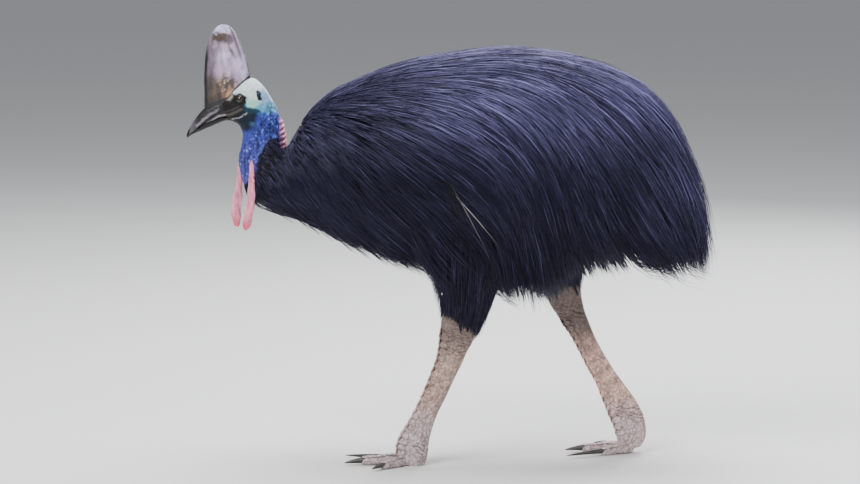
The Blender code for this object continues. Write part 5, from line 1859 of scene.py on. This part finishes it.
    @staticmethod
    def _hung(way: Vector, point: Vector, surface: Vector, droop: float, room: float) -> Vector:
        """The way of a tuft where it hangs free, behind the body or near its lower edge.

        Args:
            way: Way of the plumage on the body.
            point: Place of the tuft.
            surface: Way out from the body.
            droop: Degrees by which this tuft falls more than others.
            room: Share of the full height left above the coat's lower edge.

        Returns:
            The way, turned down behind the body and level near the lower edge.
        """
        fall = math.atan2(-way.z, way.x)
        least = math.radians(float(np.interp(point.x, REAR_X, REAR_FALL)) + droop)
        free = min(max(1.0 - surface.y**2 * 1.6, 0.0), 1.0) if point.x > REAR_X[0] else 0.0
        fall += max(least - fall, 0.0) * free
        level = min(max(room + max(droop, 0.0) * 0.12, 0.15), 1.0) if fall > 0.0 else 1.0
        return Vector((math.cos(fall), 0.0, -math.sin(fall) * level))

    def _resampled(self, values: list[tuple[float, ...]]) -> np.ndarray:
        """The same line with the full number of steps."""
        line = np.array(values)
        if len(line) == self.steps + 1:
            return line
        places = np.linspace(0.0, len(line) - 1.0, self.steps + 1)
        known = np.arange(len(line))
        return np.stack([np.interp(places, known, line[:, axis]) for axis in range(3)], axis=1)

    @staticmethod
    def _lowest(x: float) -> float:
        """Height of the coat's lower edge at some x."""
        return float(height_on_line(x * 1000.0, COAT_LINE)) * MM

    def _piece(self, name: str, guides: list[Guide], material: bpy.types.Material
               ) -> bpy.types.Object:
        """Make the strands of all tufts of a piece as one mesh.

        Args:
            name: Name of the piece.
            guides: Its tufts.
            material: Its finish.

        Returns:
            The piece, with its shares of painted sheen and its unwrap.
        """
        tufts = len(guides)
        rings = self.steps
        line, across, out = np.stack([guide.lines for guide in guides], axis=1)[:, :, None]
        share = np.linspace(0.0, 1.0, rings + 1)[None, None, :, None]
        size = np.array([guide.size for guide in guides])[:, None, None, None]
        shape = (tufts, self.a_tuft, 1, 1)
        reach = np.clip(size / 0.2, 0.22, 1.0)
        shift = self.chance.uniform(-0.0095, 0.0095, shape) * reach
        gather = self.chance.uniform(-0.1, 0.55, (tufts, 1, 1, 1))
        lift = self.chance.uniform(-0.001, 0.003, shape) * reach
        wave = self.chance.normal(0.0, 0.0028, shape) * reach
        turn = self.chance.uniform(0.0, math.tau, shape)
        shorten = self.chance.uniform(0.74, 1.0, shape)
        pulled = shift * (1 - gather * share) + wave * np.sin(share * 5.5 + turn) * share
        centre = line + across * pulled + out * (lift * np.sin(share * 2.6))
        start = centre[:, :, :1]
        centre = start + (centre - start) * shorten
        broad = np.array([guide.broad for guide in guides])[:, None, None, None]
        width = self.strand_width * self.chance.uniform(0.5, 1.35, shape) * (0.5 + 0.5 * reach)
        half = width * broad * np.array(self.widths)[None, None, :, None] / 2
        body, ways, ups = centre[:, :, :-1], across[:, :, :-1], out[:, :, :-1]
        rise = np.minimum(half, self.strand_width / 2)
        rim = np.stack([body - ways * half, body + ups * rise, body + ways * half], axis=3)
        strands = tufts * self.a_tuft
        corners = rim.reshape(strands, rings * 3, 3)
        tips = centre[:, :, -1].reshape(strands, 1, 3)
        points = np.concatenate([corners, tips], axis=1)
        count = rings * 3 + 1
        faces = self._strand_faces(rings)
        triangles = (faces[None] + (np.arange(strands) * count)[:, None, None]).reshape(-1, 3)
        piece = triangle_object(name, points.reshape(-1, 3), triangles, material)
        self._tint(piece.data, points.reshape(-1, 3), broad[:, :, :, 0], count)
        self._unwrap(piece.data, guides, count, triangles)
        return piece

    @staticmethod
    def _strand_faces(rings: int) -> np.ndarray:
        """Triangles of one strand of three sides with a pointed tip."""
        faces = [(0, 1, 2)]
        for ring in range(rings - 1):
            for side in range(3):
                low = ring * 3 + side
                beside = ring * 3 + (side + 1) % 3
                faces += [(low, beside + 3, beside), (low, low + 3, beside + 3)]
        last = (rings - 1) * 3
        tip = rings * 3
        faces += [(last, tip, last + 1), (last + 1, tip, last + 2), (last + 2, tip, last)]
        return np.array(faces)

    def _tint(self, mesh: bpy.types.Mesh, points: np.ndarray, broad: np.ndarray, count: int
              ) -> None:
        """Give each strand its share of painted violet sheen: painted reflection of the light from
        above, most on the back and at the rear, with a painted highlight along each strand, painted
        glints on a few strands, and less on the broad under tufts as painted shade.
        """
        tuft = self.chance.beta(0.7, 1.4, (len(broad), 1, 1))
        strand = self.chance.beta(0.45, 0.95, (len(broad), self.a_tuft, 1))
        along = np.repeat(np.linspace(0.0, 1.0, self.steps + 1), 3)[:count][None, None]
        # painted highlight: a brighter stretch along each strand
        lit = 0.22 + 0.78 * hump(along, self.chance.uniform(0.35, 1.0, strand.shape), 0.3)
        # broad under tufts get less sheen: painted shade under the outer tufts
        sheen_share = (tuft * 0.65 + strand * 0.95) * lit / broad
        # painted glints: a few strands much lighter
        glint = (ease(strand, 0.8, 0.97) * lit * 0.17 / broad).ravel()
        x, z = points[:, 0], points[:, 2]
        # painted sheen of the light from above, strongest on the back
        back = np.interp(z, self.tint_z, self.tint_up) * np.interp(x, self.tint_x,
                                                                   self.tint_along)
        # painted sheen on the rear, where the light from above and behind falls
        rear = 0.46 * ease(x, 0.36, 0.5) * ease(z, 0.4, 0.68)
        sheen_share = sheen_share.ravel() * np.maximum(np.maximum(back, rear), 0.06) + glint
        attribute = mesh.attributes.new("Tint", "FLOAT", "POINT")
        attribute.data.foreach_set("value", sheen_share.astype(np.float32))

    def _unwrap(self, mesh: bpy.types.Mesh, guides: list[Guide], count: int,
                triangles: np.ndarray) -> None:
        """Lay each tuft as a small patch at its root's place on the unwrap of the skin."""
        spot = np.array([guide.spot for guide in guides])[:, None, None, :]
        column = np.linspace(-0.5, 0.5, self.a_tuft)[None, :, None]
        along = np.repeat(np.linspace(-0.5, 0.5, self.steps + 1), 3)[:count][None, None, :]
        side = np.tile(np.array([-0.08, 0.0, 0.08]), self.steps + 1)[:count][None, None, :]
        patch = np.stack(np.broadcast_arrays(along, column + side), axis=-1) * self.patch_size
        places = (spot + patch).reshape(-1, 2)
        layer = mesh.uv_layers.new(name="OFBake")
        layer.data.foreach_set("uv", places[triangles.ravel()].astype(np.float32).ravel())


def triangle_object(name: str, points: np.ndarray, triangles: np.ndarray,
                    material: bpy.types.Material) -> bpy.types.Object:
    """Make an object of many triangles.

    Args:
        name: Name of the piece.
        points: Its corners.
        triangles: Three corners for each face.
        material: Its finish.

    Returns:
        The new object.
    """
    mesh = bpy.data.meshes.new(name)
    mesh.vertices.add(len(points))
    mesh.vertices.foreach_set("co", points.astype(np.float32).ravel())
    mesh.loops.add(triangles.size)
    mesh.loops.foreach_set("vertex_index", triangles.astype(np.int32).ravel())
    mesh.polygons.add(len(triangles))
    mesh.polygons.foreach_set("loop_start", np.arange(0, triangles.size, 3, dtype=np.int32))
    mesh.update(calc_edges=True)
    mesh.shade_smooth()
    return new_object(name, mesh, material)


@dataclass
class Studio:
    """Pale floor, soft lights and the camera at the photograph's angle."""

    aim: Triple = (-0.046, 0.0, 0.517)
    distance: float = 8.0
    pitch: float = 7.0
    focal: float = 142.5
    sensor: float = 36.0

    def build(self) -> None:
        """Set up floor, light and camera."""
        self._floor()
        self._light("key", (-2.6, -3.6, 4.4), 3.0, 370.0, (1.0, 0.985, 0.96))
        self._light("fill", (3.4, -3.4, 2.0), 3.4, 60.0, (0.95, 0.97, 1.0))
        self._light("top", (0.4, 0.8, 4.6), 3.2, 390.0, (0.97, 0.975, 1.0))
        self._light("rim", (1.8, 3.8, 2.8), 2.4, 150.0, (0.97, 0.97, 1.0))
        world = bpy.data.worlds.new("studio_air")
        world.use_nodes = True
        Wiring(world.node_tree).feed(world.node_tree.nodes["Background"],
                                     {"Color": (0.9, 0.94, 1.0, 1.0), "Strength": 0.38})
        bpy.context.scene.world = world
        self._camera()

    def _floor(self) -> None:
        """Pale floor that reaches past the picture's edges."""
        half = 60.0
        mesh = bpy.data.meshes.new("floor")
        mesh.from_pydata([(-half, -half, 0.0), (half, -half, 0.0), (half, half, 0.0),
                          (-half, half, 0.0)], [], [(0, 1, 2, 3)])
        paint = new_material("floor_paint", {"Base Color": (0.7, 0.7, 0.69, 1.0),
                                             "Roughness": 0.9})[0]
        new_object("floor", mesh, paint)

    def _light(self, name: str, place: Triple, size: float, power: float, colour: Triple) -> None:
        """Add a soft square light that faces the bird.

        Args:
            name: Name of the light.
            place: Where it stands.
            size: Length of its side.
            power: Its power in watts.
            colour: Its colour.
        """
        lamp = bpy.data.lights.new(name, "AREA")
        lamp.size = size
        lamp.energy = power
        lamp.color = colour
        made = in_scene(name, lamp)
        made.location = place
        way = Vector((0.0, 0.0, 0.6)) - Vector(place)
        made.rotation_euler = way.to_track_quat("-Z", "Y").to_euler()

    def _camera(self) -> None:
        """Put the camera at the photograph's angle."""
        lens = bpy.data.cameras.new("camera")
        lens.lens = self.focal
        lens.sensor_width = self.sensor
        lens.clip_end = 200.0
        made = in_scene("camera", lens)
        pitch = math.radians(self.pitch)
        made.location = (self.aim[0], self.aim[1] - self.distance * math.cos(pitch),
                         self.aim[2] + self.distance * math.sin(pitch))
        made.rotation_euler = (math.pi / 2 - pitch, 0.0, 0.0)
        bpy.context.scene.camera = made


def main() -> None:
    """Build every piece in order, then the studio round them."""
    logging.basicConfig(level=logging.INFO, format="%(name)s: %(message)s")
    finishes = Finishes()
    Skin().build(finishes)
    Casque().build(finishes)
    Bill().build(finishes)
    Eyes().build(finishes)
    for leg in LEGS:
        leg.claws(finishes)
    Scutes().build(finishes)
    Wings().build(finishes)
    Coat().build(finishes)
    Studio().build()


if __name__ == "__main__":
    main()
